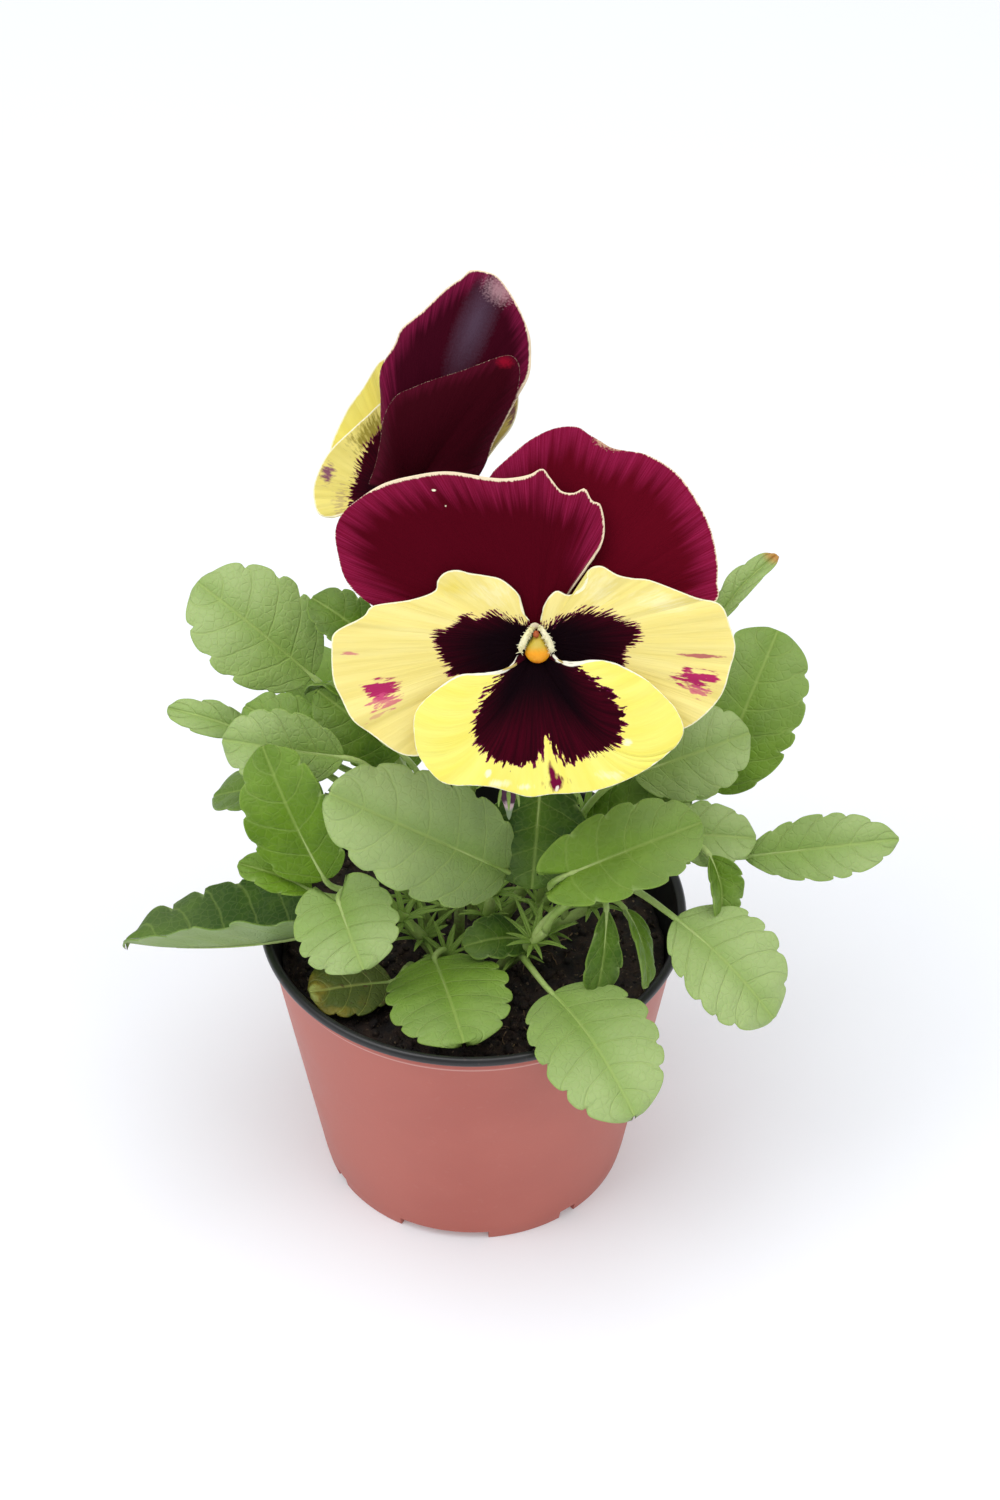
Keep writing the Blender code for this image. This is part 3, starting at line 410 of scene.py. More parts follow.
class Wiring:
    """Short calls that lay nodes in one material or group."""

    def __init__(self, tree: bpy.types.NodeTree) -> None:
        """Keep the tree that the nodes go into."""
        self.tree = tree

    def put(self, kind: str, inputs: dict | None = None, **settings) -> Node:
        """Add one node, set it and feed its inputs.

        Args:
            kind: The node's type name, without its ShaderNode prefix.
            inputs: Input names or numbers, with a socket to link or a value to set.
            **settings: Properties of the node.

        Returns:
            The node.
        """
        node = self.tree.nodes.new("ShaderNode" + kind)
        for name, value in settings.items():
            setattr(node, name, value)
        for key, value in (inputs or {}).items():
            self.feed(node.inputs[key], value)
        return node

    def feed(self, socket: Socket, value: object) -> None:
        """Link a socket, or set it to a number, a vector or a colour.

        Args:
            socket: The input.
            value: A socket, a number or a tuple.
        """
        if isinstance(value, bpy.types.NodeSocket):
            self.tree.links.new(value, socket)
        elif isinstance(value, tuple) and socket.type == "RGBA" and len(value) == 3:
            socket.default_value = (*value, 1.0)
        else:
            socket.default_value = value

    def math(self, operation: str, *values: object, clamp: bool = False) -> Socket:
        """The result of a Math node, held between 0 and 1 where clamp is set."""
        return self.put("Math", dict(enumerate(values)), operation=operation, use_clamp=clamp).outputs[0]

    def times(self, first: object, second: object) -> Socket:
        """The product of two sockets or numbers."""
        return self.math("MULTIPLY", first, second)

    def plus(self, first: object, second: object, clamp: bool = False) -> Socket:
        """The sum of two sockets or numbers, held between 0 and 1 where clamp is set."""
        return self.math("ADD", first, second, clamp=clamp)

    def minus(self, first: object, second: object) -> Socket:
        """The first socket or number less the second."""
        return self.math("SUBTRACT", first, second)

    def sway(self, jitter: Socket, span: object) -> Socket:
        """A jitter from 0 to 1 turned into (jitter - 0.5) span, which goes both ways."""
        return self.times(self.minus(jitter, 0.5), span)

    def mix(self, share: object, low: object, high: object) -> Socket:
        """Two colours mixed by a share, 0 for low and 1 for high."""
        ends = {0: share, 6: low, 7: high}
        return self.put("Mix", ends, data_type="RGBA", clamp_factor=True).outputs[2]

    def layers(self, colour: object, *coats: tuple) -> Socket:
        """Colours laid over a first one in order.

        Args:
            colour: The first colour.
            *coats: A share and a colour for each coat.

        Returns:
            The colour's socket.
        """
        for share, coat in coats:
            colour = self.mix(share, colour, coat)
        return colour

    def step(self, value: Socket, low: float, high: float, first: float = 0.0, last: float = 1.0) -> Socket:
        """A soft step from first, where the value is low, to last, where it is high."""
        ends = {"Value": value, "From Min": low, "From Max": high, "To Min": first, "To Max": last}
        return self.put("MapRange", ends, interpolation_type="SMOOTHSTEP").outputs[0]

    def carried(self, name: str, kind: str = "Fac") -> Socket:
        """A value that the mesh carries, from the Fac or the Vector output of its node."""
        return self.put("Attribute", attribute_type="GEOMETRY", attribute_name=name).outputs[kind]

    def place(self) -> Socket:
        """The place on the piece, in metres."""
        return self.put("TexCoord").outputs["Object"]

    def part(self, vector: Socket, axis: int) -> Socket:
        """One part of a vector: 0, 1 or 2 for X, Y or Z."""
        return self.put("SeparateXYZ", {0: vector}).outputs[axis]

    def noise(self, vector: Socket, scale: object, detail: float = 2.0, roughness: float = 0.5) -> Socket:
        """Smooth noise from 0 to 1, with finer layers as detail and roughness say."""
        ends = {"Vector": vector, "Scale": scale, "Detail": detail, "Roughness": roughness}
        return self.put("TexNoise", ends).outputs["Fac"]

    def effect(self, effect: "Effect", *inputs: object) -> list[Socket]:
        """The outputs of a shared effect, with its inputs given in their order."""
        return list(self.put("Group", dict(enumerate(inputs)), node_tree=effect_group(effect)).outputs)

    def ends(self, inputs: tuple[str, ...], outputs: tuple[str, ...]) -> tuple[list[Socket], Node]:
        """Name a group's sockets and add its two end nodes.

        Args:
            inputs: Names of the inputs; those in VECTOR_INPUTS are vectors.
            outputs: Names of the number outputs.

        Returns:
            The sockets that bring the inputs, and the output node.
        """
        for name in inputs:
            kind = "Vector" if name in VECTOR_INPUTS else "Float"
            self.tree.interface.new_socket(name, in_out="INPUT", socket_type="NodeSocket" + kind)
        for name in outputs:
            self.tree.interface.new_socket(name, in_out="OUTPUT", socket_type="NodeSocketFloat")
        brought = self.tree.nodes.new("NodeGroupInput").outputs
        return [brought[name] for name in inputs], self.tree.nodes.new("NodeGroupOutput")


class Coat(Wiring):
    """The wiring of one material round its Principled shader."""

    def __init__(self, name: str, **sockets) -> None:
        """Make the material, with fixed values on the shader's own sockets.

        Args:
            name: The material's name.
            **sockets: Socket names with underscores for spaces, and their values.
        """
        self.made = bpy.data.materials.new(name)
        self.made.use_nodes = True
        super().__init__(self.made.node_tree)
        self.shader = self.tree.nodes["Principled BSDF"]
        for key, value in sockets.items():
            self.feed(self.shader.inputs[key.replace("_", " ")], value)

    def mottle(self, cloud: float, grain: float, fleck: float) -> list[Socket]:
        """Clouds, grain and flecks of the given numbers of swells to a metre."""
        return self.effect(Effect.MOTTLE, cloud, grain, fleck)

    def feathered(self, depth: Socket, jitter: Socket, feather: float, softness: float) -> Socket:
        """A mask that is full where depth is above 0, with a frayed edge."""
        return self.effect(Effect.FEATHERED, depth, jitter, feather, softness)[0]

    def done(self, colour: Socket, height: Socket, depth_mm: float, strength: float = 1.0) -> Material:
        """Feed the shader its colour, and its normal through a bump.

        Args:
            colour: The finished colour.
            height: Height from 0 to 1.
            depth_mm: How high 1 stands.
            strength: How much of the height shows.

        Returns:
            The material.
        """
        self.feed(self.shader.inputs["Base Color"], colour)
        bump = self.put("Bump", {"Height": height, "Distance": depth_mm * MM, "Strength": strength})
        self.feed(self.shader.inputs["Normal"], bump.outputs["Normal"])
        return self.made


class Effect(Enum):
    """Effects that several finishes share, each a node group."""

    STREAKS = "petal_streaks"
    FEATHERED = "feathered_mask"
    SPOT = "soft_spot"
    VEINS = "leaf_veins"
    MOTTLE = "mottle"


VECTOR_INPUTS = ("Place", "Centre", "Size")


def effect_group(effect: Effect) -> bpy.types.NodeTree:
    """The node group of an effect, built the first time it is asked for.

    Args:
        effect: Which effect.

    Returns:
        The group.
    """
    found = bpy.data.node_groups.get(effect.value)
    if found:
        return found
    tree = bpy.data.node_groups.new(effect.value, "ShaderNodeTree")
    builders = {
        Effect.STREAKS: lay_streaks, Effect.FEATHERED: lay_feathered, Effect.SPOT: lay_spot,
        Effect.VEINS: lay_veins, Effect.MOTTLE: lay_mottle,
    }
    builders[effect](Wiring(tree))
    return tree


def lay_streaks(w: Wiring) -> None:
    """Fine and broad streaks that fan out from a petal's claw: noise drawn out along the rays.

    Args:
        w: The group's wiring.
    """
    (place, count, along), end = w.ends(("Place", "Count", "Along"), ("Fine", "Broad"))
    across, ahead = w.times(w.part(place, 0), count), w.times(w.part(place, 1), along)
    thin = w.put("CombineXYZ", {0: across, 1: ahead}).outputs[0]
    wide = w.put("CombineXYZ", {0: w.times(across, 0.22), 1: w.times(ahead, 0.6), 2: 7.0}).outputs[0]
    w.feed(end.inputs["Fine"], w.step(w.noise(thin, 1.0, 3.0, 0.6), 0.3, 0.7))
    w.feed(end.inputs["Broad"], w.step(w.noise(wide, 1.0), 0.3, 0.7))


def lay_feathered(w: Wiring) -> None:
    """A mask with a frayed edge: (depth + (jitter - 0.5) feather) / softness + 0.5, held in 0 to 1.

    Args:
        w: The group's wiring.
    """
    (depth, jitter, feather, softness), end = w.ends(("Depth", "Jitter", "Feather", "Softness"), ("Mask",))
    deep = w.math("DIVIDE", w.plus(depth, w.sway(jitter, feather)), softness)
    w.feed(end.inputs["Mask"], w.plus(deep, 0.5, clamp=True))


def lay_spot(w: Wiring) -> None:
    """A turned oval spot: 1 - |turned (place - centre) / size| + (jitter - 0.5) ragged, over softness.

    Args:
        w: The group's wiring.
    """
    names = ("Place", "Centre", "Size", "Turn", "Jitter", "Ragged", "Softness")
    (place, centre, size, turn, jitter, ragged, softness), end = w.ends(names, ("Mask",))
    ends = {"Vector": place, "Center": centre, "Angle": turn}
    away = w.put("VectorRotate", ends, rotation_type="Z_AXIS").outputs[0]
    for operation, other in (("SUBTRACT", centre), ("DIVIDE", size), ("MULTIPLY", (1.0, 1.0, 0.0))):
        away = w.put("VectorMath", {0: away, 1: other}, operation=operation).outputs[0]
    reach = w.put("VectorMath", {0: away}, operation="LENGTH").outputs["Value"]
    inside = w.plus(w.minus(1.0, reach), w.sway(jitter, ragged))
    w.feed(end.inputs["Mask"], w.math("DIVIDE", inside, softness, clamp=True))


def lay_veins(w: Wiring) -> None:
    """A leaf's midrib, side veins and fine net, and the height that they press into the blade.

    A side vein lies where the phase is whole, so its mask is a step of |fract(phase + 0.5) - 0.5|.

    Args:
        w: The group's wiring.
    """
    names = ("Midrib", "Side", "Net", "Height")
    (phase, midrib, place), end = w.ends(("Phase", "Midrib", "Place"), names)
    bent = w.plus(phase, w.sway(w.noise(place, 260.0), 0.16))
    off = w.math("ABSOLUTE", w.minus(w.math("FRACT", w.plus(bent, 0.5)), 0.5))
    side = w.step(off, 0.0, 0.075, 1.0, 0.0)
    rib = w.step(midrib, 0.12, 0.6, 1.0, 0.0)
    cells = w.put("TexVoronoi", {"Vector": place, "Scale": 620.0}, feature="DISTANCE_TO_EDGE")
    net = w.step(cells.outputs["Distance"], 0.0, 0.16, 1.0, 0.0)
    pressed = w.math("MAXIMUM", w.math("MAXIMUM", rib, side), w.times(net, 0.45))
    height = w.plus(w.minus(1.0, pressed), w.times(w.noise(place, 3800.0), 0.25))
    for name, result in zip(names, (rib, side, net, height)):
        w.feed(end.inputs[name], result)


def lay_mottle(w: Wiring) -> None:
    """Soft clouds, fine grain and sparse flecks, all from the piece's own place in metres.

    Args:
        w: The group's wiring.
    """
    names = ("Cloud Scale", "Grain Scale", "Fleck Scale")
    (cloud, grain, fleck), end = w.ends(names, ("Cloud", "Grain", "Fleck"))
    place = w.place()
    w.feed(end.inputs["Cloud"], w.step(w.noise(place, cloud, 3.0), 0.3, 0.7))
    w.feed(end.inputs["Grain"], w.noise(place, grain, 4.0))
    w.feed(end.inputs["Fleck"], w.step(w.noise(place, fleck, 1.0), 0.66, 0.74))


class Tone(Enum):
    """How a leaf's green stands: its freshness and its paleness, each from 0 to 1."""

    # Paleness, the second number, is partly the leaf's own pale green and partly painted sheen.
    # The darkest tone is partly the leaf's own dark green and partly painted shade, for leaves that sit in
    # shade under the bloom and the crown.
    DEEP_AND_SHADED = (0.0, 0.0)
    MID = (0.42, 0.08)
    VIVID = (0.72, 0.0)
    FRESH = (0.8, 0.2)
    LIGHT = (0.8, 0.62)
    GREY = (0.3, 0.62)
    YOUNG = (1.0, 0.9)


@dataclass(frozen=True)
class LeafFinish:
    """A viola leaf: smooth green with pale veins, a yellowish midrib and a duller underside."""

    # The deep colour is partly the leaves' own dark green and partly painted shade; the pale colour is
    # partly their own pale green and partly painted sheen.
    deep: Colour = srgb(48, 80, 14)
    fresh: Colour = srgb(108, 146, 22)
    pale: Colour = srgb(164, 186, 120)
    vein: Colour = srgb(164, 188, 100)
    under: Colour = srgb(146, 170, 112)
    edge: Colour = srgb(140, 170, 72)
    wither: Colour = srgb(196, 132, 66)

    def material(self) -> Material:
        """Lay the leaf's nodes.

        Returns:
            The material.
        """
        w = Coat("leaf_surface", Roughness=0.5, Specular_IOR_Level=0.24, Subsurface_Weight=0.1,
                 Subsurface_Radius=(0.3, 0.6, 0.15), Subsurface_Scale=SOFT_SCALE)
        from_rib = w.carried("midrib")
        rib, side, net, height = w.effect(Effect.VEINS, w.carried("phase"), from_rib, w.place())
        cloud, grain, _ = w.mottle(120.0, 900.0, 500.0)
        share = w.plus(w.carried("fresh"), w.sway(cloud, 0.35), clamp=True)
        # The pale coat follows the carried paleness: partly the leaf's own pale green, partly painted sheen
        # that grows towards the tip.
        above = w.layers(
            w.mix(share, self.deep, self.fresh), (w.carried("pale"), self.pale),
            (w.step(from_rib, 0.0, 5.0, 0.3, 0.0), self.fresh), (w.times(net, 0.07), self.vein),
            (w.times(side, 0.2), self.vein), (w.times(rib, 0.38), self.vein),
            (w.step(w.carried("rim"), 0.1, 0.5, 0.4, 0.0), self.edge),
            (w.times(w.carried("notch"), 0.6), self.pale), (w.carried("wither"), self.wither),
        )
        below = w.layers(self.under, (w.times(side, 0.3), self.vein), (w.times(cloud, 0.3), self.fresh))
        under = w.step(w.carried("under"), 0.45, 0.95)
        rough = w.plus(w.plus(0.4, w.times(grain, 0.22)), w.times(under, 0.15))
        w.feed(w.shader.inputs["Roughness"], rough)
        return w.done(w.mix(under, above, below), height, 0.16)


@dataclass(frozen=True)
class FadingLeafFinish:
    """The old leaf on the peat: olive, with an orange-yellow patch, brown spots and a pale tip."""

    olive: Colour = srgb(82, 98, 26)
    patch: Colour = srgb(142, 128, 34)
    brown: Colour = srgb(84, 52, 22)
    pale: Colour = srgb(176, 186, 96)

    def material(self) -> Material:
        """Lay the fading leaf's nodes.

        Returns:
            The material.
        """
        w = Coat("fading_leaf", Roughness=0.55)
        rib, side, _, height = w.effect(Effect.VEINS, w.carried("phase"), w.carried("midrib"), w.place())
        cloud, _, fleck = w.mottle(150.0, 900.0, 420.0)
        along = w.plus(w.part(w.put("UVMap").outputs[0], 0), w.sway(cloud, 0.5))
        colour = w.layers(
            self.olive, (w.step(along, 0.55, 0.9), self.patch), (w.step(along, 0.78, 1.05), self.pale),
            (w.times(side, 0.35), self.pale), (w.times(rib, 0.5), self.pale),
            (w.times(fleck, 0.8), self.brown),
        )
        return w.done(colour, height, 0.2)


@dataclass(frozen=True)
class StalkFinish:
    """Stems, leaf stalks and sepals: pale green, lengthwise ridges, a little purple in places."""

    name: str
    green: Colour = srgb(134, 168, 70)
    light: Colour = srgb(176, 200, 118)
    flush: Colour = srgb(120, 96, 70)
    flush_share: float = 0.15

    def material(self) -> Material:
        """Lay the stalk's nodes.

        Returns:
            The material.
        """
        w = Coat(self.name, Roughness=0.45, Subsurface_Weight=0.1, Subsurface_Radius=(0.4, 0.7, 0.2),
                 Subsurface_Scale=SOFT_SCALE)
        cloud, grain, _ = w.mottle(90.0, 1500.0, 600.0)
        blush = w.times(w.step(grain, 0.4, 0.65), self.flush_share)
        return w.done(w.layers(self.green, (cloud, self.light), (blush, self.flush)), grain, 0.08)


@dataclass(frozen=True)
class Spot:
    """A coloured spot on a petal, in the bloom's own frame."""

    centre: Spot2D
    size: Spot2D
    colour: Colour
    strength: float = 1.0
    turn_deg: float = 0.0
    ragged: float = 0.8
    softness: float = 0.3

    def mask(self, w: Coat, place: Socket, jitter: Socket) -> Socket:
        """Where the spot shows.

        Args:
            w: The material's wiring.
            place: The place in the bloom's frame.
            jitter: Noise from 0 to 1 that frays the edge.

        Returns:
            The share's socket.
        """
        mask = w.effect(Effect.SPOT, place, (*self.centre, 0.0), (*self.size, 1.0),
                        -math.radians(self.turn_deg), jitter, self.ragged, self.softness)[0]
        return w.times(mask, self.strength)


@dataclass(frozen=True)
class PetalFinish:
    """What both kinds of petal share: its name, its spots, and how its two sides meet."""

    name: str
    spots: tuple[Spot, ...] = ()

    def spotted(self, w: Coat, colour: Socket, jitter: Socket) -> Socket:
        """Paint the petal's spots over its colour.

        Args:
            w: The material's wiring.
            colour: The colour so far.
            jitter: Noise from 0 to 1 that frays the spots' edges.

        Returns:
            The colour's socket.
        """
        place = w.carried("bloom", "Vector")
        return w.layers(colour, *((spot.mask(w, place, jitter), spot.colour) for spot in self.spots))

    def turned(self, w: Coat, above: Socket, below: Socket) -> Socket:
        """The colour above or the one below, by the side of the petal."""
        return w.mix(w.step(w.carried("under"), 0.6, 0.95), above, below)


@dataclass(frozen=True)
class BurgundyPetal(PetalFinish):
    """Velvety burgundy: dark middle, magenta streaks at the margin, and a thin pale curled edge that is
    partly its own cream margin and partly painted highlight.
    """

    middle: Colour = srgb(78, 4, 20)
    margin: Colour = srgb(122, 12, 46)
    streak: Colour = srgb(164, 44, 92)
    # The pale edge's colour: partly the petal's own cream margin, partly painted highlight on the curled
    # edge.
    rim: Colour = srgb(240, 220, 188)
    back: Colour = srgb(120, 52, 76)
    margin_mm: float = 7.0
    streak_share: float = 0.5

    STREAKS = 300.0

    def material(self) -> Material:
        """Lay the petal's nodes.

        Returns:
            The material.
        """
        w = Coat(self.name, Roughness=0.7, Specular_IOR_Level=0.02, Sheen_Weight=0.02, Sheen_Roughness=0.4,
                 Sheen_Tint=srgb(226, 150, 180))
        place, rim = w.put("UVMap").outputs[0], w.carried("rim")
        fine, broad = w.effect(Effect.STREAKS, place, self.STREAKS, 2.2)
        near = w.step(w.plus(rim, w.sway(broad, self.margin_mm * 0.4)), 0.0, self.margin_mm, 1.0, 0.0)
        outer = w.times(w.step(w.part(place, 1), 0.45, 0.85), near)
        _, grain, _ = w.mottle(70.0, 2600.0, 1500.0)
        colour = w.layers(
            self.middle, (outer, self.margin),
            (w.times(w.times(outer, fine), self.streak_share), self.streak),
            (w.times(w.minus(1.0, fine), 0.25), self.middle),
        )
        # A thin pale band along the rim where the carried value says: partly cream margin, partly painted
        # highlight.
        edge = w.feathered(w.minus(w.times(w.carried("pale_rim"), 0.6), rim), fine, 0.3, 0.18)
        above = w.mix(edge, self.spotted(w, colour, grain), self.rim)
        below = w.mix(w.times(fine, 0.4), self.back, self.margin)
        return w.done(self.turned(w, above, below), w.plus(w.times(fine, 0.6), grain), 0.09)


@dataclass(frozen=True)
class YellowPetal(PetalFinish):
    """Yellow with a near-black blotch whose frayed edge runs out in purple, and magenta marks."""

    base: Colour = srgb(240, 225, 146)
    shade: Colour = srgb(226, 206, 104)
    # The pale edge's colour: partly the petal's own pale margin, partly painted highlight on the curled
    # edge.
    rim: Colour = srgb(246, 240, 204)
    blotch: Colour = srgb(14, 2, 7)
    maroon: Colour = srgb(64, 2, 20)
    fringe: Colour = srgb(104, 16, 62)
    back: Colour = srgb(228, 216, 128)
    shine_through: Colour = srgb(150, 110, 80)
    count: float = 110.0

    FEATHER = 1.7

    def material(self) -> Material:
        """Lay the petal's nodes.

        Returns:
            The material.
        """
        w = Coat(self.name, Roughness=0.65, Specular_IOR_Level=0.03, Subsurface_Weight=0.12,
                 Subsurface_Radius=(0.6, 0.5, 0.2), Subsurface_Scale=SOFT_SCALE)
        place, depth = w.put("UVMap").outputs[0], w.carried("blotch")
        fine, broad = w.effect(Effect.STREAKS, place, self.count, 2.0)
        teeth = w.effect(Effect.STREAKS, place, self.count, 8.0)[0]
        shaded = w.layers(self.base, (w.times(broad, 0.45), self.shade),
                          (w.times(w.minus(1.0, fine), 0.12), self.shade))
        halo = w.feathered(w.plus(depth, 0.3), teeth, self.FEATHER * 1.3, 0.25)
        core = w.feathered(w.minus(depth, 0.1), teeth, self.FEATHER, 0.3)
        out = w.step(w.part(place, 1), 0.2, 0.62)
        dark = w.mix(w.times(out, w.plus(0.35, w.times(fine, 0.65))), self.blotch, self.maroon)
        # A thin pale band along the rim where the carried value says: partly pale margin, partly painted
        # highlight.
        edge = w.feathered(w.minus(w.times(w.carried("pale_rim"), 0.5), w.carried("rim")), fine, 0.15, 0.15)
        spotted = self.spotted(w, shaded, teeth)
        above = w.layers(spotted, (halo, self.fringe), (core, dark), (edge, self.rim))
        shine = w.times(core, 0.55)
        below = w.layers(self.back, (w.times(fine, 0.3), self.shade), (shine, self.shine_through))
        return w.done(self.turned(w, above, below), w.plus(w.times(fine, 0.7), broad), 0.07)


@dataclass(frozen=True)
class EyeFinish:
    """The bloom's eye: orange below, greenish yellow above."""

    orange: Colour = srgb(248, 164, 0)
    deep: Colour = srgb(226, 104, 0)
    green: Colour = srgb(196, 172, 56)

    def material(self) -> Material:
        """Lay the eye's nodes.

        Returns:
            The material.
        """
        w = Coat("bloom_eye", Roughness=0.5, Subsurface_Weight=0.1, Subsurface_Radius=(0.5, 0.3, 0.1),
                 Subsurface_Scale=SOFT_SCALE)
        _, grain, _ = w.mottle(500.0, 2600.0, 1500.0)
        height = w.plus(w.part(w.carried("bloom", "Vector"), 1), w.times(grain, 0.6))
        colour = w.layers(self.orange, (w.step(height, -1.5, 0.4), self.green),
                          (w.step(height, -3.3, -2.4, 0.8, 0.0), self.deep))
        return w.done(colour, grain, 0.12)


@dataclass(frozen=True)
class PlainFleshFinish:
    """Soft plant flesh of one hue with clouds of a second: beards, stigma and fibres."""

    name: str
    base: Colour
    second: Colour
    cloud_scale: float = 300.0
    roughness: float = 0.6

    def material(self) -> Material:
        """Lay the flesh's nodes.

        Returns:
            The material.
        """
        w = Coat(self.name, Roughness=self.roughness, Subsurface_Weight=0.15,
                 Subsurface_Radius=(0.5, 0.4, 0.3), Subsurface_Scale=SOFT_SCALE)
        cloud, grain, _ = w.mottle(self.cloud_scale, 1800.0, 900.0)
        return w.done(w.mix(cloud, self.base, self.second), grain, 0.08)


@dataclass(frozen=True)
class BudFinish:
    """The bud: violet above, a pinkish white band, and a grey-green tip."""

    violet: Colour = srgb(84, 44, 74)
    white: Colour = srgb(206, 178, 186)
    green: Colour = srgb(132, 150, 116)

    def material(self) -> Material:
        """Lay the bud's nodes.

        Returns:
            The material.
        """
        w = Coat("bud_flesh", Roughness=0.6, Specular_IOR_Level=0.2)
        cloud, grain, _ = w.mottle(420.0, 1800.0, 900.0)
        along = w.plus(w.carried("along"), w.sway(cloud, 0.12))
        colour = w.layers(self.violet, (w.step(along, 0.46, 0.56), self.white),
                          (w.step(along, 0.62, 0.74), self.green))
        return w.done(colour, grain, 0.08)


@dataclass(frozen=True)
class PotPlastic:
    """Thin moulded plastic with a satin skin, faint mould clouds, fine scuffs, and a light band at the step
    under the lip that is a painted highlight.
    """

    name: str
    base: Colour
    second: Colour
    roughness: float = 0.42
    step_highlight_share: float = 0.0
    step_highlight_height: float = 63.3
    step_highlight_half: float = 0.28
    scuff: Colour = srgb(214, 170, 160)
    # The colour of the painted highlight along the step's ledge.
    line: Colour = srgb(226, 186, 178)

    def material(self) -> Material:
        """Lay the plastic's nodes.

        Returns:
            The material.
        """
        w = Coat(self.name, Specular_IOR_Level=0.5)
        cloud, grain, fleck = w.mottle(45.0, 2200.0, 700.0)
        # A thin light band at the step's height: painted highlight on the ledge.
        away = w.math("ABSOLUTE", w.minus(w.part(w.place(), 2), self.step_highlight_height * MM))
        half = self.step_highlight_half * MM
        colour = w.layers(
            self.base, (w.times(cloud, 0.6), self.second), (w.times(fleck, 0.03), self.scuff),
            (w.step(away, half * 0.4, half, self.step_highlight_share, 0.0), self.line),
        )
        rough = w.plus(w.plus(self.roughness - 0.06, w.times(cloud, 0.1)), w.times(grain, 0.06))
        w.feed(w.shader.inputs["Roughness"], rough)
        return w.done(colour, w.plus(w.times(grain, 0.4), cloud), 0.05, 0.6)


@dataclass(frozen=True)
class PeatFinish:
    """Moist peat: almost black, with brown crumbs and pale fibres."""

    dark: Colour = srgb(34, 30, 30)
    brown: Colour = srgb(74, 54, 42)
    light: Colour = srgb(128, 108, 88)

    def material(self) -> Material:
        """Lay the peat's nodes.

        Returns:
            The material.
        """
        w = Coat("peat_surface", Roughness=0.92)
        cloud, grain, fleck = w.mottle(420.0, 1300.0, 900.0)
        colour = w.layers(self.dark, (w.times(cloud, 0.6), self.brown), (w.times(fleck, 0.7), self.light))
        return w.done(colour, grain, 0.5)


def stem_path(foot: Spot2D, route: list[Point], count: int, top: float = ROOT_TOP) -> np.ndarray:
    """A stem's middle: upright in the peat up to top, and from there a smooth curve.

    Args:
        foot: Where it stands in the peat.
        route: The places that it passes above the peat.
        count: How many points the curve has.
        top: How high its upright stretch ends.

    Returns:
        The points, the first at the foot.
    """
    return np.vstack([(*foot, ROOT_BOTTOM), smooth_path([(*foot, top), *route], count)])


def slim_blade(s: np.ndarray, t: np.ndarray, half: np.ndarray, length: float, fresh: float,
               pale: float) -> tuple[np.ndarray, np.ndarray, dict[str, np.ndarray]]:
    """What a slim green blade without side veins carries.

    Args:
        s: (rows, 1) shares along its middle.
        t: (1, columns) shares across, from -1 to 1.
        half: (rows, 1) half widths.
        length: Its length.
        fresh: How fresh its green is, from 0 to 1.
        pale: How pale its green is.

    Returns:
        The distance to the edge, the place on the blade, and the values for the leaf finish.
    """
    rim = (1 - np.abs(t)) * half
    ones = np.ones(rim.shape)
    values = {"phase": 0.5 * ones, "midrib": np.abs(t) * half, "rim": rim, "notch": 0 * ones,
              "fresh": fresh * ones, "pale": pale * ones}
    inset = np.minimum(rim, np.minimum(s, 1 - s) * length)
    return inset, np.stack([s * ones, 0.5 + 0.5 * t * ones], -1), values


@dataclass
class Leaf:
    """One blade: the ends of its midrib, its width, the way its face looks, and its green."""

    foot: Point
    tip: Point
    width: float
    tone: Tone = Tone.MID
    face: Point = (0.0, -0.45, 0.9)
    wither: float = 0.0
    at: float = 0.8
    arch: float = 2.0
    fold: float = 0.18
    teeth: int = 5
    blunt: float = 0.55
    widest: float = 0.95
    lobe: float = 0.0
    ruffle: float = 0.5

    def axes(self) -> tuple[np.ndarray, np.ndarray, np.ndarray, float]:
        """The midrib's foot, the way ahead, the way out of the face, and the midrib's length.

        Returns:
            Two unit vectors between the foot and the length.
        """
        foot, tip = np.array(self.foot, float), np.array(self.tip, float)
        length = float(np.linalg.norm(tip - foot))
        ahead = (tip - foot) / length
        face = np.array(self.face, float)
        return foot, ahead, unit(face - ahead * np.dot(face, ahead)), length


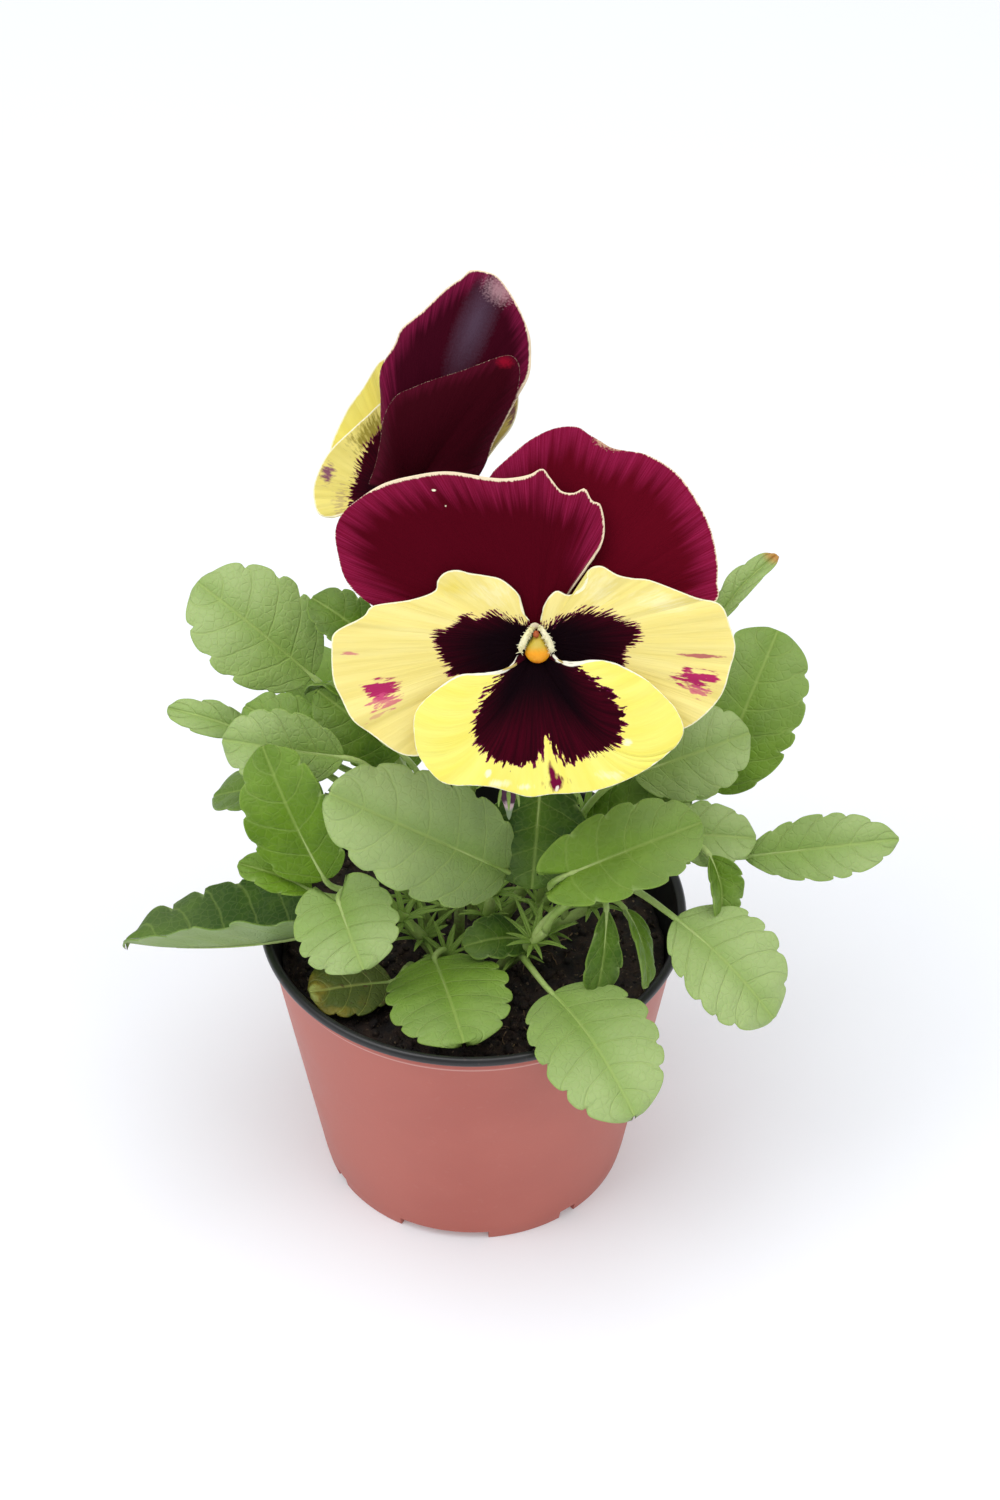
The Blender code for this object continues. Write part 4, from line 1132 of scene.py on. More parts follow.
@dataclass
class LeafyStem:
    """One stem with its leaves and stipules, as one piece."""

    node: str
    foot: Spot2D
    route: list[Point]
    leaves: list[Leaf]
    stipules: tuple[float, ...] = ()
    root_top: float = ROOT_TOP

    STEM_RADIUS = 1.5
    STEM_TIP = 0.4
    STEM_STEPS = 26
    FORKS = 5
    PETIOLE_RADIUS = 0.9
    PETIOLE_AT_BLADE = (0.62, 0.6)
    PETIOLE_TIP = 0.16
    PETIOLE_STEPS = 16
    UNDER_BLADE = (0.04, 0.75)
    UNDER_STEPS = 14
    THICKNESS = 0.42
    TOOTH_DEPTH = 0.1
    TOOTH_WANDER = 0.13
    END_HALF = 0.3
    EDGE_STEPS = ((0.0, 0.0), (0.05, 0.1), (0.16, 0.25), (0.36, 0.45))
    INNER_COLUMNS = 8
    SWELL = 0.35
    GROOVE = 0.3
    GROOVE_HALF = 0.7
    DROOP = 0.05
    HOOK = 0.12
    PALE_SHIFT = 0.08
    # How much the painted sheen lightens the blade towards its tip.
    PAINTED_SHEEN_GROWTH = 0.45
    LEAFLETS = 10
    LEAFLET_ACROSS = (-1.0, -0.9, -0.5, 0.0, 0.5, 0.9, 1.0)
    LEAFLET_THICKNESS = 0.35

    def outline(self, leaf: Leaf, s: np.ndarray, shift: float) -> tuple[np.ndarray, np.ndarray]:
        """Half the blade's width and how near a notch is, for one side of the blade.

        Half width is w/2 (4v (1 - v))^blunt with v = s^widest, less a tooth depth times
        |2g - 1|^5 + 0.35 |2g - 1|^2, where g is the place inside the tooth to the power 1.15.

        Args:
            leaf: The leaf.
            s: Shares along the midrib.
            shift: How far this side's teeth are moved along.

        Returns:
            The half widths, and notch values from 0 to 1.
        """
        v = s**leaf.widest
        oval = (4 * v * (1 - v)).clip(0) ** leaf.blunt
        uneven = self.TOOTH_WANDER * wander(1.7 * s, int(1000 * abs(shift)) + leaf.teeth)
        g = np.mod(leaf.teeth * s + shift + uneven, 1.0) ** 1.15
        cut = np.abs(2 * g - 1) ** 5 + 0.35 * np.abs(2 * g - 1) ** 2
        fade = ease(s, 0.06, 0.2) * ease(s, 1.02, 0.9)
        half = leaf.width / 2 * oval * (1 - self.TOOTH_DEPTH * (cut * fade + 0.5 * (1 - fade)))
        half = half + leaf.lobe * leaf.width * 0.45 * (1 - s) ** 4
        return np.maximum(half, self.END_HALF), (cut / 1.35) ** 3 * fade

    def blade(self, leaf: Leaf, seed: int) -> Shell:
        """The leaf's closed blade.

        Its middle is foot + (s L - back + hook) ahead + y side + rise face. Rise is arch 4s(1 - s)
        + fold |y|, plus swells between the side veins, a groove along the midrib, and waves and
        droop at the margin. Back draws the lobes of a heart-shaped foot behind it, and hook
        leans the teeth ahead.

        Args:
            leaf: The leaf.
            seed: Chooses its waves.

        Returns:
            The blade.
        """
        draw = np.random.default_rng(seed)
        foot, ahead, face, length = leaf.axes()
        side = np.cross(ahead, face)
        x = np.linspace(0, 1, max(28, int(12 * leaf.teeth)))
        s = 0.55 * 0.5 * (1 - np.cos(math.pi * x)) + 0.45 * x
        stacks, shares, notches, rims = [], [], [], []
        for sign, shift in ((-1, draw.uniform(-0.1, 0.1)), (1, draw.uniform(-0.1, 0.1))):
            half, notch = self.outline(leaf, s, shift)
            edge = np.stack([half - np.minimum(mm, half * part) for mm, part in self.EDGE_STEPS], 1)
            inner = edge[:, -1:] * np.linspace(1, 0, self.INNER_COLUMNS + 1)[None, 1:]
            y = np.hstack([edge, inner])
            stacks.append(sign * y)
            shares.append(sign * y / half[:, None])
            notches.append(np.broadcast_to(notch[:, None], y.shape))
            rims.append(half[:, None] - y)
        y, t, notch, rim = (np.hstack([a, b[:, -2::-1]]) for a, b in (stacks, shares, notches, rims))
        s = np.broadcast_to(s[:, None], y.shape)
        across = np.abs(t)
        phase = leaf.teeth * s - across**1.25
        between = np.sin(math.pi * phase) ** 2 * np.sin(math.pi * across.clip(0, 1))
        swell = self.SWELL * between * ease(s, 0.05, 0.3)
        groove = -self.GROOVE * np.exp(-((y / self.GROOVE_HALF) ** 2)) * ease(s, 1.0, 0.8)
        side_no = np.where(y < 0, 3.3, 0.0)
        wave = leaf.ruffle * across**3 * wander(s * leaf.teeth * 0.55 + side_no, seed + 1)
        droop = -self.DROOP * leaf.width * across**2 * ease(s, 0.3, 0.9)
        rise = leaf.arch * 4 * s * (1 - s) + leaf.fold * np.abs(y) + swell + groove + wave + droop
        back = leaf.lobe * length * across * (1 - s) ** 3
        middle_part = ease(s, 0.1, 0.3) * ease(s, 1.0, 0.85)
        hook = self.HOOK * length / leaf.teeth * across**4 * (1 - notch) * middle_part
        along = (s * length - back + hook)[..., None] * ahead
        grid = foot + along + y[..., None] * side + rise[..., None] * face
        fresh, pale = leaf.tone.value
        # Paleness that grows towards the tip is painted sheen, lighter over the outer half of the blade.
        painted_sheen = self.PAINTED_SHEEN_GROWTH * (0.5 + pale) * ease(s, 0.25, 0.9)
        values = {
            "phase": phase, "midrib": np.abs(y), "rim": rim, "notch": notch * ease(rim, 0.9, 0.1),
            "fresh": np.full_like(s, fresh), "pale": np.clip(pale - self.PALE_SHIFT + painted_sheen, 0, 1),
            "wither": leaf.wither * ease(s, 0.84, 0.97),
        }
        inset = np.minimum(rim, np.minimum(s, 1 - s) * length)
        uv = np.stack([s, 0.5 + 0.5 * t], -1)
        return sheet_shell(grid, inset, face, self.THICKNESS, uv, values)

    def petiole(self, path: np.ndarray, leaf: Leaf) -> Shell:
        """A leaf's stalk: a Bezier curve that leaves the stem upwards and runs on under the blade.

        Args:
            path: The stem's middle.
            leaf: The leaf.

        Returns:
            The stalk.
        """
        forks = stem_path(self.foot, self.route, self.FORKS, self.root_top)
        fork = forks[int(round(leaf.at * self.FORKS))]
        start = path[np.argmin(np.linalg.norm(path - fork, axis=1))]
        foot, ahead, face, length = leaf.axes()
        reach = float(np.linalg.norm(foot - start))
        rise = start + np.array((0, 0, 0.35)) * reach
        run_in = foot - unit(ahead * length + face * leaf.arch * 4) * reach * 0.35
        t = np.linspace(0, 1, self.PETIOLE_STEPS)[:, None]
        curve = (1 - t) ** 3 * start + 3 * (1 - t) ** 2 * t * rise
        curve = curve + 3 * (1 - t) * t**2 * run_in + t**3 * foot
        s = np.linspace(*self.UNDER_BLADE, self.UNDER_STEPS)[:, None]
        under = foot + ahead * s * length + face * (leaf.arch * 4 * s * (1 - s) - self.THICKNESS)
        first, second = self.PETIOLE_AT_BLADE
        radii = np.concatenate([np.linspace(self.PETIOLE_RADIUS, first, self.PETIOLE_STEPS),
                                np.linspace(second, self.PETIOLE_TIP, self.UNDER_STEPS)])
        return tube_shell(np.vstack([curve, under]), radii, 8, slot=1)

    def tuft(self, place: np.ndarray, seed: int) -> list[Shell]:
        """A tuft of stipules: slim blunt leaflets that fan out of the stem and curve over.

        Args:
            place: Where the tuft stands.
            seed: Chooses the leaflets.

        Returns:
            The leaflets.
        """
        draw = np.random.default_rng(seed)
        shells = []
        s = np.linspace(0, 1, 9)[:, None]
        t = np.array(self.LEAFLET_ACROSS)[None, :]
        for number in range(self.LEAFLETS):
            turn = math.tau * (number + draw.uniform(-0.3, 0.3)) / self.LEAFLETS
            out = np.array((math.cos(turn), math.sin(turn), 0.0))
            length = draw.uniform(5.0, 9.5)
            climb = draw.uniform(0.35, 1.15)
            path = place + out * length * s + UP * length * (climb * s - 0.35 * s**2)
            side = np.cross(out, UP)
            face = unit(np.cross(side, unit(np.gradient(path, axis=0))))
            half = (draw.uniform(0.45, 0.8) * np.sin(math.pi * (0.12 + 0.84 * s) ** 0.8)).clip(0.08)
            cupped = (0.18 * np.abs(t) * half)[..., None] * face[:, None]
            grid = path[:, None] + (t * half)[..., None] * side + cupped
            inset, uv, values = slim_blade(s, t, half, length, 0.85, 0.35)
            values["midrib"] += 0.2
            values["rim"] += 0.3
            shells.append(sheet_shell(grid, inset, UP, self.LEAFLET_THICKNESS, uv, values))
        return shells

    def build(self, leaf_finish: Material, stalk_finish: Material, slot: str = "leaf") -> None:
        """Make the stem, its leaf stalks, blades and stipules as one piece.

        Args:
            leaf_finish: The blades' material.
            stalk_finish: The stems' material.
            slot: A material slot name; not used.
        """
        seed = sum(map(ord, self.node))
        path = stem_path(self.foot, self.route, self.STEM_STEPS, self.root_top)
        taper = np.linspace(self.STEM_RADIUS, self.PETIOLE_RADIUS, len(path))
        taper[-1] *= self.STEM_TIP
        shells = [tube_shell(path, taper, 12, slot=1)]
        for number, leaf in enumerate(self.leaves):
            shells.append(self.blade(leaf, seed + 10 * number))
            shells.append(self.petiole(path, leaf))
        for number, share in enumerate(self.stipules):
            shells += self.tuft(path[int(share * (len(path) - 1))], seed + 100 + number)
        make_piece(self.node + "_dressed", shells, [leaf_finish, stalk_finish], self.node)


LEAFY_STEMS = [
    LeafyStem("leafy_stem_left_front", (-8, -4), [(-13, -6, 68), (-19, -9, 78)], [
        Leaf((-30, -13, 88), (-42, 0, 113), 20, Tone.VIVID, face=(-0.2, -0.9, 0.3), at=1.0, widest=0.85),
        Leaf((-33, -12, 84), (-48, -8, 88), 8, Tone.VIVID, at=0.8, teeth=3),
        Leaf((-30, -12, 73), (-73, -6, 64), 32, Tone.DEEP_AND_SHADED, face=(0.05, 0.4, 0.9), at=0.6, arch=-2, fold=0.6,
             teeth=6),
        Leaf((-27, -20, 88), (-22, -32, 81), 21, Tone.LIGHT, face=(-0.1, -0.6, 0.8), at=0.9, lobe=0.35,
             fold=0.05),
    ], (0.3, 0.62)),
    LeafyStem("leafy_stem_left", (-9, 2), [(-15, 5, 76), (-21, 8, 94)], [
        Leaf((-29, 10, 100), (-47, 20, 106.5), 15, Tone.FRESH, at=1.0),
        Leaf((-44, 14, 103), (-63, 20, 106), 8, Tone.GREY, at=0.6, teeth=3, fold=0.1),
        Leaf((-26, 3, 107), (-51, 9, 107), 16, Tone.LIGHT, face=(0.0, -0.7, 0.6), at=0.8),
    ], (0.3, 0.7)),
    LeafyStem("leafy_stem_left_rear", (-6, 8), [(-12, 16, 80), (-18, 22, 103)], [
        Leaf((-33, 28, 107.5), (-57, 40, 123.5), 25, Tone.LIGHT, face=(0.1, -0.6, 0.7), at=0.8),
        Leaf((-20, 28, 116), (-33, 35, 123), 12, Tone.MID, at=1.0, teeth=4),
        Leaf((-26, 16, 112), (-34, 20, 110), 7, Tone.MID, face=(0, 0.5, 0.8), at=0.6, teeth=3),
        Leaf((-14.5, 13, 99), (-31.5, 17, 113), 17, Tone.MID, face=(0.1, -0.7, 0.6), at=0.4),
    ], (0.3, 0.55)),
    LeafyStem("leafy_stem_front", (-3, -8), [(-5, -10, 62), (-6, -11, 65)], [
        Leaf((-8, -15, 67), (-2, -40, 68), 26, Tone.FRESH, face=(0, -0.2, 1), at=1.0, teeth=6, blunt=0.45,
             arch=1.2, fold=0.06),
    ], (0.8,)),
    LeafyStem("leafy_stem_centre", (2, -2), [(4, -4, 74), (7, -9, 86)], [
        Leaf((7, -12, 89), (-28, -21, 119), 25, Tone.GREY, face=(0.3, -0.75, 0.5), at=1.0, teeth=6, arch=3,
             blunt=0.42),
        Leaf((14, -3, 107), (12, -12, 84), 22, Tone.DEEP_AND_SHADED, face=(0.0, -0.8, 0.4), at=0.8, fold=0.1),
    ], (0.35, 0.65)),
    LeafyStem("leafy_stem_front_right", (6, -8), [(11, -13, 68), (15, -16, 76)], [
        Leaf((16, -27, 69), (32, -53, 60), 26, Tone.LIGHT, face=(0.1, -0.3, 0.95), at=0.4, teeth=6,
             blunt=0.45, arch=4),
        Leaf((11, -9.5, 67), (-2, -16, 71.5), 11, Tone.DEEP_AND_SHADED, face=(0.1, -0.3, 1.0), at=0.2, teeth=4),
        Leaf((27, -21, 87), (25, -28, 70), 8, Tone.DEEP_AND_SHADED, face=(0.2, -0.8, 0.4), at=1.0, teeth=3,
             widest=1.4),
        Leaf((31, -17, 83), (35, -27, 70), 7, Tone.MID, face=(0.7, -0.2, 0.5), at=0.8, teeth=3),
    ], (0.45, 0.75)),
    LeafyStem("leafy_stem_right_front", (10, -3), [(19, -9, 72), (30, -13, 84)], [
        Leaf((20, -22, 98), (46, -14, 104), 18, Tone.FRESH, face=(0.1, -0.6, 0.7), at=0.6, lobe=0.25),
        Leaf((35, -6, 93), (58, -6, 92), 14, Tone.LIGHT, face=(0, -0.5, 0.8), at=0.8),
        Leaf((41, -22, 85), (60.5, -36, 70), 23, Tone.YOUNG, face=(0.3, -0.5, 0.7), at=1.0, teeth=6,
             arch=3),
        Leaf((48, -13, 94), (50, -21, 84), 9, Tone.MID, face=(0.5, -0.6, 0.4), at=0.9, teeth=3, fold=0.6),
    ], (0.35, 0.8)),
    LeafyStem("leafy_stem_right", (10, 3), [(20, 2, 74), (32, 0, 84)], [
        Leaf((56, -6, 87), (88, -2, 88), 14, Tone.LIGHT, face=(0, -0.7, 0.7), at=1.0, teeth=6, blunt=0.7),
        Leaf((33, 3, 102), (57, 10, 107), 19, Tone.GREY, face=(0.2, -0.7, 0.6), at=0.6),
        Leaf((24, 0, 88), (45, 4, 97), 16, Tone.MID, face=(0.0, -0.6, 0.8), at=0.4),
    ], (0.3, 0.7)),
    LeafyStem("leafy_stem_right_rear", (7, 8), [(20, 12, 78), (35, 14, 89)], [
        Leaf((50, 10, 91), (64, 32, 116), 24, Tone.FRESH, face=(-0.1, -0.7, 0.6), at=1.0, teeth=6,
             blunt=0.45),
        Leaf((51, 34, 116), (64, 42, 128), 7, Tone.YOUNG, face=(-0.4, -0.3, 0.8), at=0.6, teeth=3,
             fold=0.35, wither=0.85),
    ], (0.35, 0.7)),
    LeafyStem("leafy_stem_rear", (4, 12), [(7, 24, 74), (10, 36, 86)], [
        Leaf((12, 44, 92), (22, 66, 102), 20, Tone.MID, face=(0.1, 0.0, 1.0), at=1.0),
        Leaf((-2, 40, 86), (-12, 62, 86), 19, Tone.FRESH, face=(-0.1, 0.2, 1.0), at=0.8),
        Leaf((24, 36, 80), (46, 52, 80), 18, Tone.MID, face=(0.2, 0.2, 1.0), at=0.6),
    ], (0.4, 0.75)),
    LeafyStem("leafy_stem_rear_left", (-3, 13), [(-12, 26, 68), (-20, 34, 76)], [
        Leaf((-25, 40, 84), (-42, 56, 92), 18, Tone.FRESH, face=(-0.1, 0.1, 1.0), at=1.0),
        Leaf((-32, 26, 74), (-56, 30, 72), 20, Tone.MID, face=(-0.1, 0.1, 1.0), at=0.8, arch=3),
        Leaf((-14, 38, 72), (-20, 60, 64), 17, Tone.MID, face=(-0.1, 0.3, 0.9), at=0.6, arch=3),
    ], (0.4, 0.75)),
]

FADING_LEAF = LeafyStem("yellowing_leaf", (-13, -9), [(-14, -11, 60)], [
    Leaf((-17, -15, 60.5), (-34, -20, 62.5), 17, Tone.MID, face=(0, -0.1, 1), at=0.8, teeth=4, fold=0.05,
         arch=0.5, ruffle=0.3),
], root_top=58.6)


@dataclass
class Petal:
    """A petal fanned out from its claw to its rim, in its bloom's frame."""

    node: str
    finish: BurgundyPetal | YellowPetal
    slot: str
    claw: Point
    rim: list[Point]
    bulge: float = 0.0
    bend: Spot2D = (0.0, 0.0)
    ripple: float = 0.5
    waves: float = 9.0
    blotch: list[Spot2D] = field(default_factory=list)
    # Spans along the rim, with strengths, where the edge turns pale: partly the petal's own margin, partly
    # painted highlight on the curled edge.
    pale_and_highlight_parts: tuple[tuple[float, float, float], ...] = ()
    dents: tuple[tuple[float, float, float, float], ...] = ()
    rays: int = 170

    STEPS = 40
    CLAW_RADIUS = 1.2
    THICKNESS = 0.36
    EDGE_MM = (0.36, 0.17, 0.05, 0.0)
    NO_BLOTCH = -9.0
    BLOTCH_POINTS = 160
    FADE = 0.02

    def surface(self, claw: np.ndarray, rim: np.ndarray, share: np.ndarray, u: np.ndarray) -> np.ndarray:
        """The petal's middle surface.

        It is claw + (rim - claw) share, bowed by bulge 4 share (1 - share), waved towards the rim
        by ripple share^3, and pushed by each dent's height exp(-(d / width)^2). Bend (p, q) curves
        the rays: they are straight while x has p y^2 and y has q x^2 taken off.

        Args:
            claw: The claw's middle.
            rim: (rays, 3) points of the rim.
            share: (rows, rays) shares of the way from the claw to the rim.
            u: (rows, rays) shares along the rim.

        Returns:
            (rows, rays, 3) points in the bloom's frame.
        """
        seed = sum(map(ord, self.node))
        p, q = self.bend
        bent = np.column_stack([p * rim[:, 1] ** 2, q * rim[:, 0] ** 2, 0 * rim[:, 0]])
        grid = claw + (rim - bent - claw)[None] * share[..., None]
        grid[..., 0] += p * grid[..., 1] ** 2
        grid[..., 1] += q * grid[..., 0] ** 2
        grid[..., 2] += self.bulge * 4 * share * (1 - share)
        sway, fine = wander(u * self.waves, seed), wander(u * self.waves * 3.1, seed + 1)
        grid[..., 2] += self.ripple * share**3 * (0.8 * sway + 0.3 * fine)
        for x, y, width, height in self.dents:
            away = ((grid[..., 0] - x) ** 2 + (grid[..., 1] - y) ** 2) / width**2
            grid[..., 2] += height * np.exp(-away)
        return grid

    def shell(self, bloom: "Bloom") -> Shell:
        """The petal's closed blade, placed in the plant's frame.

        Args:
            bloom: The bloom that places it.

        Returns:
            The blade.
        """
        rim = smooth_path(self.rim, self.rays)
        claw = np.array(self.claw, float)
        reach = np.linalg.norm((rim - claw)[:, :2], axis=1)[None]
        start = self.CLAW_RADIUS / reach
        inner_end = 1 - self.EDGE_MM[0] / reach
        inner = start + (inner_end - start) * np.linspace(0, 1, self.STEPS)[:, None]
        share = np.vstack([inner, 1 - np.array(self.EDGE_MM[1:])[:, None] / reach])
        u = np.broadcast_to(np.linspace(0, 1, self.rays)[None], share.shape)
        grid = self.surface(claw, rim, share, u)
        flat = grid[..., :2].reshape(-1, 2)
        rim_mm = path_distance(flat, rim[:, :2]).reshape(share.shape)
        depth = np.full(share.shape, self.NO_BLOTCH)
        if self.blotch:
            depth = depth_inside(flat, smooth_ring(self.blotch, self.BLOTCH_POINTS)).reshape(share.shape)
        # Where the rim turns pale: partly the petal's own margin, partly painted highlight.
        pale = np.zeros(share.shape)
        for low, high, strength in self.pale_and_highlight_parts:
            inside = ease(u, low - self.FADE, low + self.FADE) * ease(u, high + self.FADE, high - self.FADE)
            pale = np.maximum(pale, strength * inside)
        column = np.linalg.norm(np.diff(grid, axis=1), axis=-1)
        run = np.hstack([np.zeros((len(share), 1)), np.cumsum(column, axis=1)])
        side_mm = np.minimum(run, run[:, -1:] - run)
        inset = np.minimum(np.minimum((1 - share) * reach, side_mm), (share - start) * reach)
        values = {"rim": rim_mm, "blotch": depth, "pale_rim": pale, "bloom": grid.copy()}
        blade = sheet_shell(grid, inset, UP, self.THICKNESS, np.stack([u, share], -1), values)
        blade.points = bloom.placed(blade.points)
        return blade

    def build(self, bloom: "Bloom") -> None:
        """Make the petal as one piece, placed by its bloom."""
        blade, finish = self.shell(bloom), self.finish.material()
        make_piece(self.node + "_dressed", [blade], [finish], self.node)


@dataclass
class Bloom:
    """Where a bloom's throat is and how far its face is tipped up from facing the front."""

    throat: Point
    tilt_deg: float
    petals: list[Petal]

    def placed(self, points: np.ndarray) -> np.ndarray:
        """Points turned about X by 90 degrees less the tilt, then moved to the throat.

        Args:
            points: (n, 3) points in the bloom's frame.

        Returns:
            (n, 3) points in the plant's frame.
        """
        turn = math.radians(90 - self.tilt_deg)
        cos, sin = math.cos(turn), math.sin(turn)
        x, y, z = points[..., 0], points[..., 1], points[..., 2]
        return np.stack([x, y * cos - z * sin, y * sin + z * cos], -1) + self.throat

    def place(self, shell: Shell) -> Shell:
        """Move a shell into the plant's frame; it carries its place in the bloom's frame.

        Args:
            shell: A shell in the bloom's frame.

        Returns:
            The same shell.
        """
        shell.values["bloom"] = shell.points.copy()
        shell.points = self.placed(shell.points)
        return shell

    def build(self) -> None:
        """Make the bloom's petals."""
        for petal in self.petals:
            petal.build(self)


MAGENTA = srgb(172, 44, 94)
ROSE = srgb(204, 84, 124)
WINE = srgb(112, 14, 56)
VIOLET = srgb(122, 48, 104)
# Cream, also laid as painted highlights on the upper parts of the lateral petals.
CREAM = srgb(250, 244, 210)

